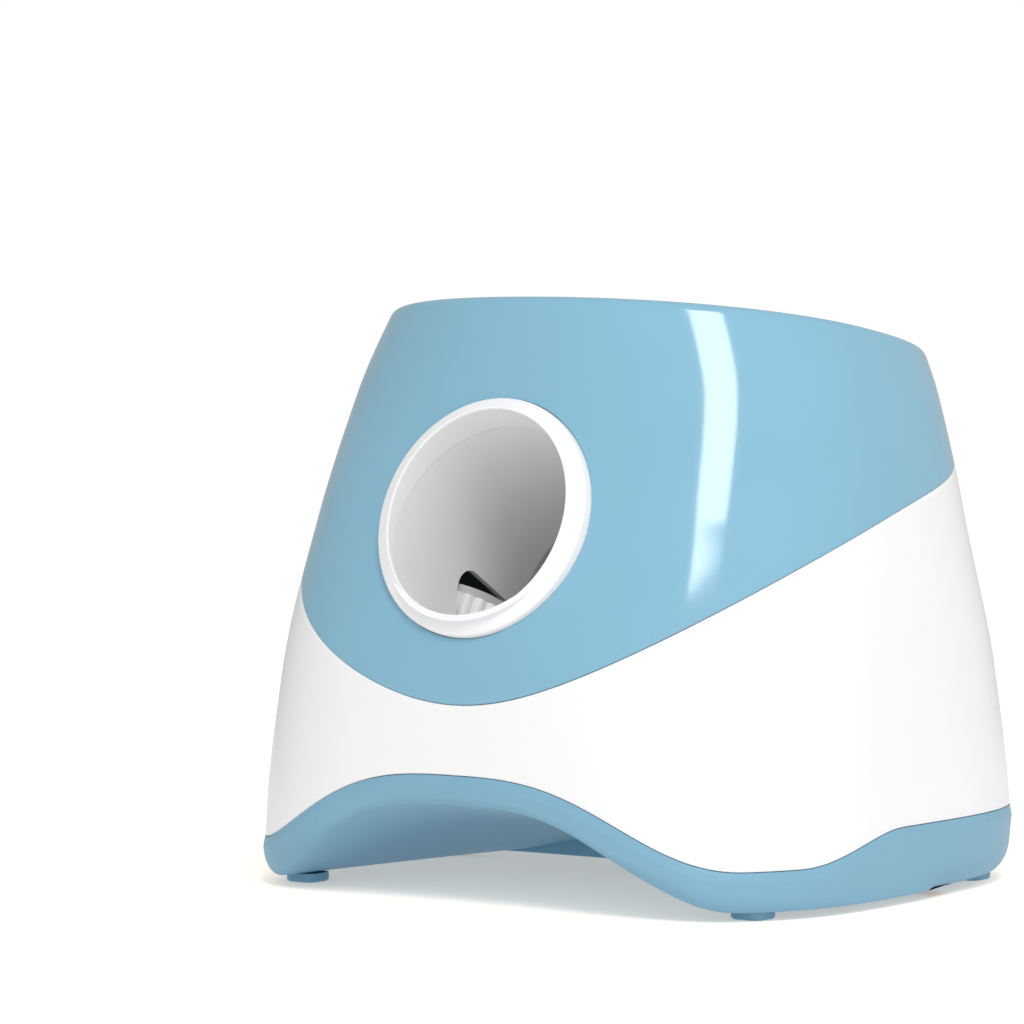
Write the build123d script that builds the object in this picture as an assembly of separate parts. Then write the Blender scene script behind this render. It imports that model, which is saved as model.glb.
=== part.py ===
from build123d import *
import os
from math import acos, atan, cos, degrees, hypot, pi, radians, sin, tan

# Automatic dog ball launcher, in millimetres.
# Origin on the floor under the middle of the body, +Z up, -Y the way the ball leaves, +X the left side.

# ---------------------------------------------------------------- driving dimensions
# body
BODY_WIDTH = 264.0
BODY_LENGTH = 251.0
FORM_HEIGHT = 240.0
RIM_HEIGHT = 217.6
RIM_FALL = 8.75
RIM_ROUNDING = 4.5
BOTTOM_HEIGHT = 3.5
BASE_ROUNDNESS = 3.4
TOP_ROUNDNESS = 2.05
WALL = 2.6
SHELL_STEP = 0.6
SEAM_GAP = 0.2
BASE_ROUNDING = 8.0
# how far the walls lean in at each station, from the floor to the top of the form
STATION_SHARES = (0.0, 0.125, 0.35, 0.6, 0.8, 1.0)
SIDE_TAPER = (0.0, 0.0, 3.0, 8.5, 17.0, 37.5)
FRONT_TAPER = (0.0, 0.0, 2.5, 18.5, 35.3, 48.2)
REAR_TAPER = (0.0, 0.0, 3.0, 16.5, 20.0, 20.5)
# seam between the hood and the lower casing: mean height, and the waves of its sweep round the body
SEAM_MEAN = 139.6
SEAM_WAVES = (45.9, 11.2, 4.7, 1.0)
# arch in the front of the base, the wave along its sides and the scoop under it
ARCH_TOP = 50.5
ARCH_UNDERSIDE = 41.0
ARCH_FULLNESS = 1.5
ARCH_HALF_WIDTH = 112.0
SCOOP_REAR = 28.5
SCOOP_REAR_HEIGHT = 13.0
SCOOP_REAR_HALF_WIDTH = 92.0
CORNER_HEIGHT = 18.8
SIDE_HEIGHT = 30.0
WAVE_FRONT = -76.0
WAVE_REAR = -16.0
FLOOR = 3.0
WEB = 2.4
# feet
FOOT_SPREAD_X = 104.0
FOOT_SPREAD_Y = 78.5
FOOT_WIDTH = 14.0
FOOT_CORNER = 4.0
FOOT_CHAMFER = 0.8
FOOT_STUD = 3.0
STUD_LENGTH = 4.5
# launch mouth and barrel
BORE = 40.0
BARREL_WALL = 2.5
RING_RADIUS = 46.8
RING_PROUD = 0.6
RING_TILT = 18.8
RING_CROWN = 3.6
RING_LIP = 1.2
RING_BODY = 12.0
RING_COLLAR = 53.0
RING_CENTRE_HEIGHT = 146.9
SLEEVE_WALL = 5.0
SLEEVE_LENGTH = 20.0
BARREL_FRONT = 3.0
LAUNCH_ANGLE = 30.0
LUG_X = 45.5
LUG_RISE = 12.0
LUG_RADIUS = 6.0
LUG_THICKNESS = 4.0
BALL_RADIUS = 31.75
# launch wheels and motors
WHEEL_RADIUS = 28.0
WHEEL_DEPTH = 76.0
NIP = 54.0
# under the bore's axis: the wheel's lower and upper face; the smooth collar is its top part
WHEEL_BOTTOM = 27.0
WHEEL_TOP = 2.7
COLLAR_THICKNESS = 3.5
SHAFT_COVER = 2.0
FLUTES = 32
FLUTE_DEPTH = 1.4
HUB_RADIUS = 18.0
WINDOW_FRONT = 49.4
WINDOW_REAR = 105.0
WINDOW_TOP = 4.5
WINDOW_BOTTOM = -30.0
WINDOW_CORNER = 8.0
PLATFORM_GAP = 4.5
PLATFORM = 3.0
PLATFORM_REACH = 80.0
MOTOR_RADIUS = 13.85
MOTOR_LENGTH = 34.0
MOTOR_CAP = 4.0
MOTOR_NOSE = 5.0
NOSE_LENGTH = 1.8
NOSE_GAP = 0.2
MOTOR_SCREW_OFFSET = 8.0
SHAFT_RADIUS = 1.6
RUNNING_CLEARANCE = 0.05
LEG_X = 74.0
LEG_Y = -42.0
LEG_FOOT = 26.0
# hopper and feed
CHUTE_ANGLE = 15.0
ELBOW_DEPTH = 97.0
THROAT_Y = 38.0
THROAT_RADIUS = 36.0
THROAT_TOP = 160.0
HOPPER_WALL = 2.2
LIP_INSET = 7.0
LIP_LEDGE = 4.0
LIP_DEPTH = 5.0
FLANGE = 2.4
FUNNEL_LEDGE = 2.5
# inside of the bowl: heights above the throat's top, and the share of the way out from throat to rim
BOWL_RISES = (-4.0, 0.0, 3.0, 10.0, 20.0, 34.0, 54.0, 80.0)
BOWL_SHARES = (0.0, 0.015, 0.1, 0.35, 0.62, 0.82, 0.95, 1.0)
BOWL_LEVELS = (-4.0, 0.0, 3.0, 6.0, 10.0, 15.0, 20.0, 27.0, 34.0, 42.0, 50.0, 58.0, 66.0, 74.0, 80.0)
FIT_GAP = 0.3
RIB_THICKNESS = 3.0
RIB_HALF_WIDTH = 26.0
RIB_OFFSET = 12.0
RIB_FLANGE = 7.0
RIB_FOOT = 2.5
RIB_SCREW = 4.0
# ball gate
GATE_Y = 7.0
GATE_THICKNESS = 4.0
GATE_SIDE_GAP = 0.8
GATE_PIVOT_X = 50.0
GATE_PIVOT_RISE = 20.0
GATE_TIP_X = 8.0
GATE_ARM_WIDTH = 8.0
GATE_TRAVEL = 70.0
GATE_HUB = 8.0
GATE_PIN = 2.5
GATE_PIN_HEAD = 4.5
# how far a pin runs on past the piece that turns on it
PIN_FREE_LENGTH = 0.6
GEAR_MODULE = 1.25
SECTOR_TEETH = 40
PINION_TEETH = 14
PRESSURE_ANGLE = 20.0
BACKLASH = 0.3
# tooth heights above and below the pitch circle, in modules
ADDENDUM = 0.9
DEDENDUM = 1.15
MESH_ANGLE = 30.0
WING = 3.0
WING_GAP = 0.5
# the wing rises past the bowl's throat only outside this distance
WING_STEP = 38.0
GEARBOX_RADIUS = 10.0
GEARBOX_LENGTH = 14.0
GEARBOX_EAR = 13.2
EAR_THICKNESS = 2.5
GATE_MOTOR_RADIUS = 8.0
GATE_MOTOR_LENGTH = 20.0
GATE_SHAFT = 1.5
# ball lever
LEVER_PIVOT_X = -48.0
LEVER_PIVOT_RISE = 10.0
LEVER_THICKNESS = 5.0
LEVER_TIP_X = -28.5
LEVER_PIN = 1.5
LEVER_PIN_HEAD = 2.8
LEVER_SIDE_GAP = 0.7
# battery housing
CELL_RADIUS = 13.1
CELL_LENGTH = 50.0
CELL_PITCH = 26.8
CELLS = 4
CELL_SPACE = 0.8
CELL_LIFT = 0.3
CONTACT_SPACE = 4.0
CONTACT_THICKNESS = 0.8
BATTERY_Y = 62.0
HOUSING_WALL = 2.0
DOOR_BOSS = 3.2
DOOR_TABS = (-30.0, 30.0)
TAB_WIDTH = 10.0
TAB_THICKNESS = 1.6
# control panel
PANEL_HEIGHT = 122.0
PANEL_WIDTH = 84.0
PANEL_TALL = 40.0
PANEL_CORNER = 14.0
PANEL_FLANGE = 4.0
PANEL_BACK = 2.2
BUTTON_RADIUS = 7.0
BUTTON_PROUD = 2.0
BUTTON_CHAMFER = 0.7
BUTTON_X = 25.0
LENS_RADIUS = 2.0
LENS_PITCH = 9.0
BOARD_DEPTH = 18.4
BOARD = 1.6
BOARD_WIDTH = 76.0
BOARD_TALL = 32.0
# power inlet
JACK_ANGLE = 70.0
JACK_HEIGHT = 52.0
JACK_RADIUS = 6.0
JACK_BEZEL = 8.0
JACK_PROUD = 1.2
BEZEL_RECESS = 0.4
JACK_LENGTH = 14.0
JACK_BORE = 3.2
JACK_BORE_DEPTH = 9.5
JACK_PIN = 1.05
# screws and their bosses
SCREW_RADIUS = 1.5
SCREW_HEAD = 2.8
SCREW_HEAD_HEIGHT = 2.0
BOSS_RADIUS = 4.5
BASE_BOSS = 6.0
BASE_SCREW = 22.0
LEG_SCREW = 16.0
HEAD_GAP = 0.4
SMALL_HEAD = 2.2
MOTOR_SCREW_HEAD = 2.6
# depth of the screw heads' recesses in the base and under the legs
HEAD_RECESS = 4.5
LEG_HEAD_DEPTH = 6.0
THREAD_END = 6.0
BASE_POSTS = ((115.0, -52.0), (115.0, 52.0))
HOOD_POSTS = ((108.0, -30.0), (92.0, 62.0))
HOOD_POST_LENGTH = 20.0

BIG = 400.0
OUTLINE_POINTS = 40
FORM_LEVELS = 13
SEAM_STEPS = 12
ARCH_STEPS = 8
FORWARD = Vector(0, -1, 0)
ACROSS = Vector(1, 0, 0)

os.makedirs("parts", exist_ok=True)


def write(node, shape):
    """One STEP file per piece."""
    solids = shape.solids()
    whole = solids[0] if len(solids) == 1 else Compound(children=list(solids))
    export_step(whole, f"parts/{node}.step")


def turned(radius, low, high, inner=0.0):
    """A disc, rod or tube about Z between two heights."""
    body = Pos(0, 0, (low + high) / 2) * Cylinder(radius, high - low)
    if inner:
        body -= Pos(0, 0, (low + high) / 2) * Cylinder(inner, high - low + 2)
    return body


def block(low, high):
    """A box between two corners."""
    size = [b - a for a, b in zip(low, high)]
    return Pos(*[(a + b) / 2 for a, b in zip(low, high)]) * Box(*size)


def screw(shank, head=SCREW_HEAD):
    """A pan-head screw about Z: its head above zero, its shank below."""
    return turned(head, 0, SCREW_HEAD_HEIGHT) + turned(SCREW_RADIUS, -shank, 0)


def group(shapes):
    """Identical loose pieces that share one node."""
    return Compound(children=[solid for shape in shapes for solid in shape.solids()])


def mirrored(shape):
    return mirror(shape, Plane.YZ)


# ---------------------------------------------------------------- outer form
def smooth_between(knots, values, at):
    """Monotone cubic through the stations of the form."""
    last = len(knots) - 1
    slopes = [(values[i + 1] - values[i]) / (knots[i + 1] - knots[i]) for i in range(last)]
    tangents = [slopes[0]]
    for before, after in zip(slopes, slopes[1:]):
        tangents.append(2 * before * after / (before + after) if before * after > 0 else 0.0)
    tangents.append(slopes[-1])
    span = max(i for i in range(last) if i == 0 or at >= knots[i])
    step = knots[span + 1] - knots[span]
    t = (at - knots[span]) / step
    start = (1 + 2 * t) * (1 - t) ** 2 * values[span] + t * (1 - t) ** 2 * step * tangents[span]
    end = t * t * (3 - 2 * t) * values[span + 1] - t * t * (1 - t) * step * tangents[span + 1]
    return start + end


STATIONS = [share * FORM_HEIGHT for share in STATION_SHARES]


def half_width(height):
    return BODY_WIDTH / 2 - smooth_between(STATIONS, SIDE_TAPER, height)


def front_reach(height):
    return BODY_LENGTH / 2 - smooth_between(STATIONS, FRONT_TAPER, height)


def rear_reach(height):
    return BODY_LENGTH / 2 - smooth_between(STATIONS, REAR_TAPER, height)


def form_point(angle, height, inset):
    """A point of the body's outline at one height, as seen from above at one angle."""
    wide = half_width(height) - inset
    reach = (front_reach(height) if sin(angle) < 0 else rear_reach(height)) - inset
    roundness = BASE_ROUNDNESS + (TOP_ROUNDNESS - BASE_ROUNDNESS) * height / FORM_HEIGHT
    radius = (abs(cos(angle) / wide) ** roundness + abs(sin(angle) / reach) ** roundness) ** (-1 / roundness)
    return Vector(radius * cos(angle), radius * sin(angle), height)


def outline_angles():
    return [pi / 2 + 2 * pi * step / OUTLINE_POINTS for step in range(OUTLINE_POINTS)]


def outline_wire(points):
    """A closed smooth outline; all outlines share one spacing, so that lofts between them stay light."""
    return Wire([Edge.make_spline(points, periodic=True, parameters=range(len(points) + 1))])


def form(inset):
    """The body's outer form, taken in by a wall, from the floor to above the rim."""
    wires = []
    for level in range(FORM_LEVELS):
        height = FORM_HEIGHT * level / (FORM_LEVELS - 1)
        wires.append(outline_wire([form_point(angle, height, inset) for angle in outline_angles()]))
    return Solid.make_loft(wires)


def above_rim(drop):
    """Everything above the rim plane, lowered by a depth."""
    tilt = Vector(0, sin(radians(RIM_FALL)), cos(radians(RIM_FALL)))
    plane = Plane(origin=(0, 0, RIM_HEIGHT - drop), x_dir=ACROSS, z_dir=tilt)
    return plane.location * block((-BIG, -BIG, 0), (BIG, BIG, BIG))


def below(height):
    return block((-BIG, -BIG, height - BIG), (BIG, BIG, height))


def side_prism(edges):
    """A side-view outline (distance to the rear, height) carried right across the body."""
    view = Plane(origin=(-BIG / 2, 0, 0), x_dir=(0, 1, 0), z_dir=ACROSS)
    face = make_face([view.location * edge for edge in edges])
    return extrude(face, BIG, dir=ACROSS)


def front_prism(edges, start, end):
    """A front-view outline (across, height) carried from one depth to another."""
    view = Plane(origin=(0, end, 0), x_dir=ACROSS, z_dir=FORWARD)
    face = make_face([view.location * edge for edge in edges])
    return extrude(face, end - start, dir=FORWARD)


def seam_points(lift):
    """The seam in side view, from just ahead of the body to just behind it."""
    points = []
    for step in range(SEAM_STEPS + 1):
        turn = pi * step / SEAM_STEPS
        height = SEAM_MEAN - sum(wave * cos((i + 1) * turn) for i, wave in enumerate(SEAM_WAVES))
        points.append((form_point(turn - pi / 2, height, SHELL_STEP).Y, height + lift))
    ahead = tuple(2 * a - b for a, b in zip(points[0], points[1]))
    behind = tuple(2 * a - b for a, b in zip(points[-1], points[-2]))
    return [ahead, *points, behind]


def seam_edges(lift):
    return Spline(*seam_points(lift)).edges()


def above_seam(lift):
    points = seam_points(lift)
    first, last = points[0], points[-1]
    frame = Polyline(last, (BIG / 2, last[1]), (BIG / 2, BIG), (-BIG / 2, BIG), (-BIG / 2, first[1]), first)
    return side_prism([*seam_edges(lift), *frame.edges()])


def arch_spline(crown, foot, half, lift):
    """The arch's outline across the front: one smooth wave from foot to crown to foot."""
    points = []
    for i in range(-ARCH_STEPS, ARCH_STEPS + 1):
        share = abs(i) / ARCH_STEPS
        rise = (1 + cos(pi * share**ARCH_FULLNESS)) / 2
        points.append((half * i / ARCH_STEPS, foot + lift + (crown - foot) * rise))
    return Edge.make_spline(points, tangents=[ACROSS, ACROSS], parameters=range(len(points)))


def below_boundary(lift):
    """Everything under the base's upper edge: the front arch and the wave along the sides."""
    corner = CORNER_HEIGHT + lift
    side = SIDE_HEIGHT + lift
    reach = BIG / 2
    arch = arch_spline(ARCH_TOP, CORNER_HEIGHT, ARCH_HALF_WIDTH, lift)
    frame = Polyline(
        (ARCH_HALF_WIDTH, corner),
        (reach, corner),
        (reach, -reach),
        (-reach, -reach),
        (-reach, corner),
        (-ARCH_HALF_WIDTH, corner),
    )
    front = front_prism([*arch.edges(), *frame.edges()], -reach, WAVE_FRONT)
    wave = Spline((WAVE_FRONT, corner), (WAVE_REAR, side), tangents=[ACROSS, ACROSS])
    under = ((reach, side), (reach, -reach), (WAVE_FRONT, -reach))
    frame = Polyline((WAVE_REAR, side), *under, (WAVE_FRONT, corner))
    return front + side_prism([*wave.edges(), *frame.edges()])


def scoop(wall):
    """The hollow under the base behind the front arch, falling to the rear; a wall makes it larger."""
    ends = (
        (-BODY_LENGTH / 2 - 5, ARCH_UNDERSIDE, ARCH_HALF_WIDTH + wall),
        (SCOOP_REAR + wall, SCOOP_REAR_HEIGHT, SCOOP_REAR_HALF_WIDTH + wall),
    )
    wires = []
    for y, crown, half in ends:
        foot = BOTTOM_HEIGHT + wall
        curve = arch_spline(crown, BOTTOM_HEIGHT, half, wall)
        frame = Polyline((half, foot), (half, -BOTTOM_HEIGHT), (-half, -BOTTOM_HEIGHT), (-half, foot))
        view = Plane(origin=(0, y, 0), x_dir=ACROSS, z_dir=FORWARD)
        wires.append(Wire([view.location * edge for edge in (*curve.edges(), *frame.edges())]))
    return Solid.make_loft(wires, ruled=True)


def wall_plane(angle, height):
    """A plane on the lower casing's surface: z out of the wall, x level, y up the wall."""
    here = form_point(angle, height, SHELL_STEP)
    along = form_point(angle + 0.02, height, SHELL_STEP) - form_point(angle - 0.02, height, SHELL_STEP)
    up = form_point(angle, height + 5, SHELL_STEP) - form_point(angle, height - 5, SHELL_STEP)
    return Plane(origin=here, x_dir=along, z_dir=along.cross(up))


outer = form(0)
shell_outer = form(SHELL_STEP)
inner = form(SHELL_STEP + WALL)

# ---------------------------------------------------------------- frames of the launch line
ring_tilt = radians(RING_TILT)
ring_centre = Vector(0, -front_reach(RING_CENTRE_HEIGHT) - RING_PROUD, RING_CENTRE_HEIGHT)
launch = radians(LAUNCH_ANGLE)
launch_way = Vector(0, -cos(launch), sin(launch))
ring_normal = Vector(0, -cos(ring_tilt), sin(ring_tilt))
ring_plane = Plane(origin=ring_centre, x_dir=ACROSS, z_dir=ring_normal)
# barrel frame: x across, y square to the bore and up, z out of the mouth, so that depth is -z
barrel_plane = Plane(origin=ring_centre, x_dir=ACROSS, z_dir=launch_way)
barrel_up = Vector(0, sin(launch), cos(launch))

# the ball rolls on the bore's floor, so the elbow lies where its two paths meet
ball_drop = BORE - BALL_RADIUS
half_turn = radians(LAUNCH_ANGLE + CHUTE_ANGLE) / 2
elbow_axis_depth = ELBOW_DEPTH - ball_drop * tan(half_turn)
elbow = ring_centre - launch_way * elbow_axis_depth
feed = radians(CHUTE_ANGLE)
feed_way = Vector(0, -cos(feed), -sin(feed))
chute_plane = Plane(origin=elbow, x_dir=ACROSS, z_dir=feed_way)
mitre_angle = launch - half_turn
mitre_plane = Plane(origin=elbow, x_dir=ACROSS, z_dir=(0, cos(mitre_angle), -sin(mitre_angle)))


def chute_axis_height(y):
    return elbow.Z + (y - elbow.Y) * tan(feed)


def in_barrel(shape):
    return barrel_plane.location * shape


def in_chute(shape):
    return chute_plane.location * shape


behind_elbow = mitre_plane.location * block((-BIG, -BIG, 0), (BIG, BIG, BIG))

# ---------------------------------------------------------------- base tray
above_floor = (outer - below(BOTTOM_HEIGHT)).edges()
bottom_edges = [edge for edge in above_floor if abs(edge.center().Z - BOTTOM_HEIGHT) < 0.01]
base_block = fillet(bottom_edges, BASE_ROUNDING)
floor_top = BOTTOM_HEIGHT + FLOOR
# the floor over the scoop stands up inside the lower casing
base_tray = base_block & (below_boundary(0) + form(SHELL_STEP + WALL + FIT_GAP))
base_tray = base_tray - (inner - below(floor_top) - scoop(FLOOR))

housing_half_x = CELLS * CELL_PITCH / 2 + CELL_SPACE
housing_half_y = CELL_LENGTH / 2 + CONTACT_SPACE
cell_height = floor_top + CELL_RADIUS + CELL_LIFT
housing_top = cell_height + CELL_RADIUS + CELL_SPACE + HOUSING_WALL
base_tray += block(
    (-housing_half_x - HOUSING_WALL, BATTERY_Y - housing_half_y - HOUSING_WALL, BOTTOM_HEIGHT + 1),
    (housing_half_x + HOUSING_WALL, BATTERY_Y + housing_half_y + HOUSING_WALL, housing_top),
)
base_tray -= block(
    (-housing_half_x, BATTERY_Y - housing_half_y, 0),
    (housing_half_x, BATTERY_Y + housing_half_y, housing_top - HOUSING_WALL),
)
door_boss_y = BATTERY_Y + housing_half_y - 5
door_boss_top = floor_top + 3.5
base_tray += Pos(0, door_boss_y, 0) * turned(DOOR_BOSS, floor_top, door_boss_top)
base_tray += block((-DOOR_BOSS, door_boss_y, floor_top), (DOOR_BOSS, door_boss_y + 5.5, door_boss_top))
door_front = BATTERY_Y - housing_half_y
for x in DOOR_TABS:
    low = (x - TAB_WIDTH / 2 - FIT_GAP, door_front - HOUSING_WALL - 1, floor_top)
    high = (x + TAB_WIDTH / 2 + FIT_GAP, door_front + 1, floor_top + TAB_THICKNESS + FIT_GAP)
    base_tray -= block(low, high)

post_top = CORNER_HEIGHT
for x, y in BASE_POSTS:
    for side in (-1, 1):
        base_tray += Pos(side * x, y, 0) * turned(BASE_BOSS, BOTTOM_HEIGHT + 0.5, post_top)
for side in (-1, 1):
    base_tray += Pos(side * LEG_X, LEG_Y, 0) * turned(BASE_BOSS, BOTTOM_HEIGHT + 0.5, LEG_FOOT)
base_tray -= scoop(0)

head_seat = BOTTOM_HEIGHT + HEAD_RECESS
base_screw_spots = [(side * x, y) for x, y in BASE_POSTS for side in (-1, 1)]
for x, y in base_screw_spots:
    hole = turned(SCREW_HEAD + HEAD_GAP, 0, head_seat) + turned(SCREW_RADIUS, 0, post_top + 1)
    base_tray -= Pos(x, y, 0) * hole
leg_seat = LEG_FOOT - LEG_HEAD_DEPTH
for side in (-1, 1):
    hole = turned(SCREW_HEAD + HEAD_GAP, 0, leg_seat) + turned(SCREW_RADIUS, 0, LEG_FOOT + 1)
    base_tray -= Pos(side * LEG_X, LEG_Y, 0) * hole
feet_spots = {
    "foot_front_left": (FOOT_SPREAD_X, -FOOT_SPREAD_Y),
    "foot_front_right": (-FOOT_SPREAD_X, -FOOT_SPREAD_Y),
    "foot_rear_left": (FOOT_SPREAD_X, FOOT_SPREAD_Y),
    "foot_rear_right": (-FOOT_SPREAD_X, FOOT_SPREAD_Y),
}
for x, y in feet_spots.values():
    base_tray -= Pos(x, y, 0) * turned(FOOT_STUD, 0, floor_top + 1)
rib_spots = [BATTERY_Y - RIB_OFFSET, BATTERY_Y + RIB_OFFSET]
rib_screw_x = RIB_HALF_WIDTH - 6
for y in rib_spots:
    for side in (-1, 1):
        hole = turned(SCREW_RADIUS, housing_top - HOUSING_WALL - 1, BIG)
        base_tray -= Pos(side * rib_screw_x, y + RIB_SCREW, 0) * hole
base_tray -= Pos(0, door_boss_y, 0) * turned(SCREW_RADIUS, 0, door_boss_top + 1)

foot = extrude(RectangleRounded(FOOT_WIDTH, FOOT_WIDTH, FOOT_CORNER), BOTTOM_HEIGHT)
foot = chamfer(foot.faces().sort_by(Axis.Z)[0].edges(), FOOT_CHAMFER)
foot += turned(FOOT_STUD, BOTTOM_HEIGHT, BOTTOM_HEIGHT + STUD_LENGTH)

base_screws = []
for x, y in base_screw_spots:
    base_screws.append(Pos(x, y, head_seat) * Rot(180, 0, 0) * screw(BASE_SCREW))
for side in (-1, 1):
    base_screws.append(Pos(side * LEG_X, LEG_Y, leg_seat) * Rot(180, 0, 0) * screw(LEG_SCREW))

# ---------------------------------------------------------------- lower casing
lower_shell = shell_outer - inner - below_boundary(SEAM_GAP) - above_seam(0)
rib_low = SIDE_HEIGHT + 5
base_post_top = SIDE_HEIGHT + 28
for x, y in BASE_POSTS:
    post = Pos(x, y, 0) * turned(BOSS_RADIUS, post_top + SEAM_GAP, base_post_top)
    web = block((x, y - WEB / 2, rib_low), (x + 20, y + WEB / 2, base_post_top)) & shell_outer
    post += web
    post -= Pos(x, y, 0) * turned(SCREW_RADIUS, 0, head_seat + BASE_SCREW)
    lower_shell += post + mirrored(post)


def seam_height(y):
    """Height of the hood's seam at a distance to the rear."""
    ends = Edge.make_line((y, -BIG), (y, BIG))
    return seam_edges(0)[0].find_intersection_points(ends)[0].Y


hood_screws = []
hood_posts = []
for x, y in HOOD_POSTS:
    seam = seam_height(y)
    low, high = seam - HOOD_POST_LENGTH, seam + HOOD_POST_LENGTH
    post = Pos(x, y, 0) * turned(BOSS_RADIUS, low, high)
    post += block((x, y - WEB / 2, low), (x + 30, y + WEB / 2, high)) & shell_outer
    post -= Pos(x, y, 0) * turned(SCREW_RADIUS, low - 1, high - THREAD_END)
    lower_shell += (post - above_seam(0)) + mirrored(post - above_seam(0))
    hood_posts.append(post & above_seam(SEAM_GAP))
    fixing = Pos(x, y, low) * Rot(180, 0, 0) * screw(high - THREAD_END - low)
    hood_screws += [fixing, mirrored(fixing)]

# control panel opening and power inlet in the rear wall
panel_plane = wall_plane(pi / 2, PANEL_HEIGHT)


def panel_prism(grow):
    face = RectangleRounded(PANEL_WIDTH + 2 * grow, PANEL_TALL + 2 * grow, PANEL_CORNER + grow)
    return panel_plane.location * Pos(0, 0, -20) * extrude(face, 40)


lower_shell -= panel_prism(FIT_GAP)
jack_plane = wall_plane(radians(JACK_ANGLE), JACK_HEIGHT)
lower_shell -= jack_plane.location * (turned(JACK_RADIUS, -20, 5) + turned(JACK_BEZEL, -BEZEL_RECESS, 5))

# ---------------------------------------------------------------- hood
hood = fillet(
    [e for e in (shell_outer - above_rim(0)).edges() if e.center().Z > RIM_HEIGHT - 30],
    RIM_ROUNDING,
)
hood -= inner - above_rim(LIP_DEPTH)
hood = hood & above_seam(SEAM_GAP)
hood -= form(LIP_INSET + LIP_LEDGE)
hood -= form(LIP_INSET) & above_rim(FLANGE)
for post in hood_posts:
    hood += post + mirrored(post)
hood -= ring_plane.location * turned(RING_RADIUS + FIT_GAP, -30, 30)

# ---------------------------------------------------------------- launch ring
crown_plane = Plane(origin=ring_centre + launch_way * RING_CROWN, x_dir=ACROSS, z_dir=ring_normal)
cone = Solid.make_loft(
    [Wire.make_circle(RING_RADIUS, ring_plane), Wire.make_circle(BORE + RING_LIP, crown_plane)], ruled=True
)
collar = form(SHELL_STEP + WALL + FIT_GAP) - form(SHELL_STEP + WALL + FIT_GAP + HOPPER_WALL)
collar = collar & (ring_plane.location * turned(RING_COLLAR, -30, 10))
ring_depth = ring_plane.location * turned(RING_RADIUS, -RING_BODY, 0)
lug_spots = [(sx * LUG_X, sy * LUG_RISE) for sx in (-1, 1) for sy in (-1, 1)]
launch_ring = cone + ring_depth + collar + in_barrel(turned(BORE + SLEEVE_WALL, -SLEEVE_LENGTH, -5))
for x, y in lug_spots:
    launch_ring += in_barrel(Pos(x, y, 0) * turned(LUG_RADIUS, -SLEEVE_LENGTH, -SLEEVE_LENGTH + 8))
launch_ring -= in_barrel(turned(BORE, -60, 40))
launch_ring -= in_barrel(turned(BORE + BARREL_WALL, -60, -BARREL_FRONT))
for x, y in lug_spots:
    launch_ring -= in_barrel(Pos(x, y, 0) * turned(SCREW_RADIUS, -SLEEVE_LENGTH - 1, -SLEEVE_LENGTH + 6))

# ---------------------------------------------------------------- barrel
lug_front = SLEEVE_LENGTH + SEAM_GAP
lug_rear = lug_front + LUG_THICKNESS
wheel_x = NIP / 2 + WHEEL_RADIUS
platform_top = -WHEEL_BOTTOM - PLATFORM_GAP
platform_bottom = platform_top - PLATFORM
window_tall = WINDOW_TOP - WINDOW_BOTTOM
window_long = WINDOW_REAR - WINDOW_FRONT
window = Box(4 * BORE, window_tall, window_long)
window = fillet(window.edges().filter_by(Axis.X), WINDOW_CORNER)
window = in_barrel(Pos(0, WINDOW_TOP - window_tall / 2, -WINDOW_FRONT - window_long / 2) * window)

barrel = in_barrel(turned(BORE + BARREL_WALL, -2 * ELBOW_DEPTH, -BARREL_FRONT - SEAM_GAP)) - behind_elbow
barrel -= in_barrel(turned(BORE, -BIG, BIG))
barrel -= window
for x, y in lug_spots:
    barrel += in_barrel(Pos(x, y, 0) * turned(LUG_RADIUS, -lug_rear, -lug_front))
for side in (-1, 1):
    plate = block(
        (side * PLATFORM_REACH if side < 0 else 20, platform_bottom, -WINDOW_REAR + 1),
        (-20 if side < 0 else side * PLATFORM_REACH, platform_top, -WINDOW_FRONT - 1),
    )
    barrel += in_barrel(plate)
    leg = Pos(side * LEG_X, LEG_Y, 0) * turned(BOSS_RADIUS, LEG_FOOT, LEG_FOOT + 60)
    leg -= in_barrel(block((-BIG, platform_top - 1, -BIG), (BIG, BIG, BIG)))
    barrel += leg
    barrel -= Pos(side * LEG_X, LEG_Y, 0) * turned(SCREW_RADIUS, 0, LEG_FOOT + 10)
barrel -= in_barrel(turned(BORE, -BIG, BIG))
for x, y in lug_spots:
    barrel -= in_barrel(Pos(x, y, 0) * turned(SCREW_RADIUS, -lug_rear - 1, -lug_front + 1))
ring_screws = []
for x, y in lug_spots:
    ring_screws.append(in_barrel(Pos(x, y, -lug_rear) * Rot(180, 0, 0) * screw(lug_rear - SLEEVE_LENGTH + 6)))


# ---------------------------------------------------------------- launch wheels and motors
def wheel_location(side):
    """On a wheel's axis at the height of the bore's axis, z up along the axis."""
    spot = barrel_plane.from_local_coords((side * wheel_x, 0, -WHEEL_DEPTH))
    return Plane(origin=spot, x_dir=ACROSS, z_dir=barrel_up).location


def fluted_disc(radius, low, high):
    """A disc with rounded flutes side by side round its rim."""
    valley = radius - FLUTE_DEPTH
    step = 2 * pi / FLUTES
    arcs = []
    for i in range(FLUTES):
        marks = ((valley, i * step), (radius, (i + 0.5) * step), (valley, (i + 1) * step))
        arcs.append(ThreePointArc(*[(r * cos(a), r * sin(a)) for r, a in marks]))
    return Pos(0, 0, low) * extrude(make_face(arcs), high - low)


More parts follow.
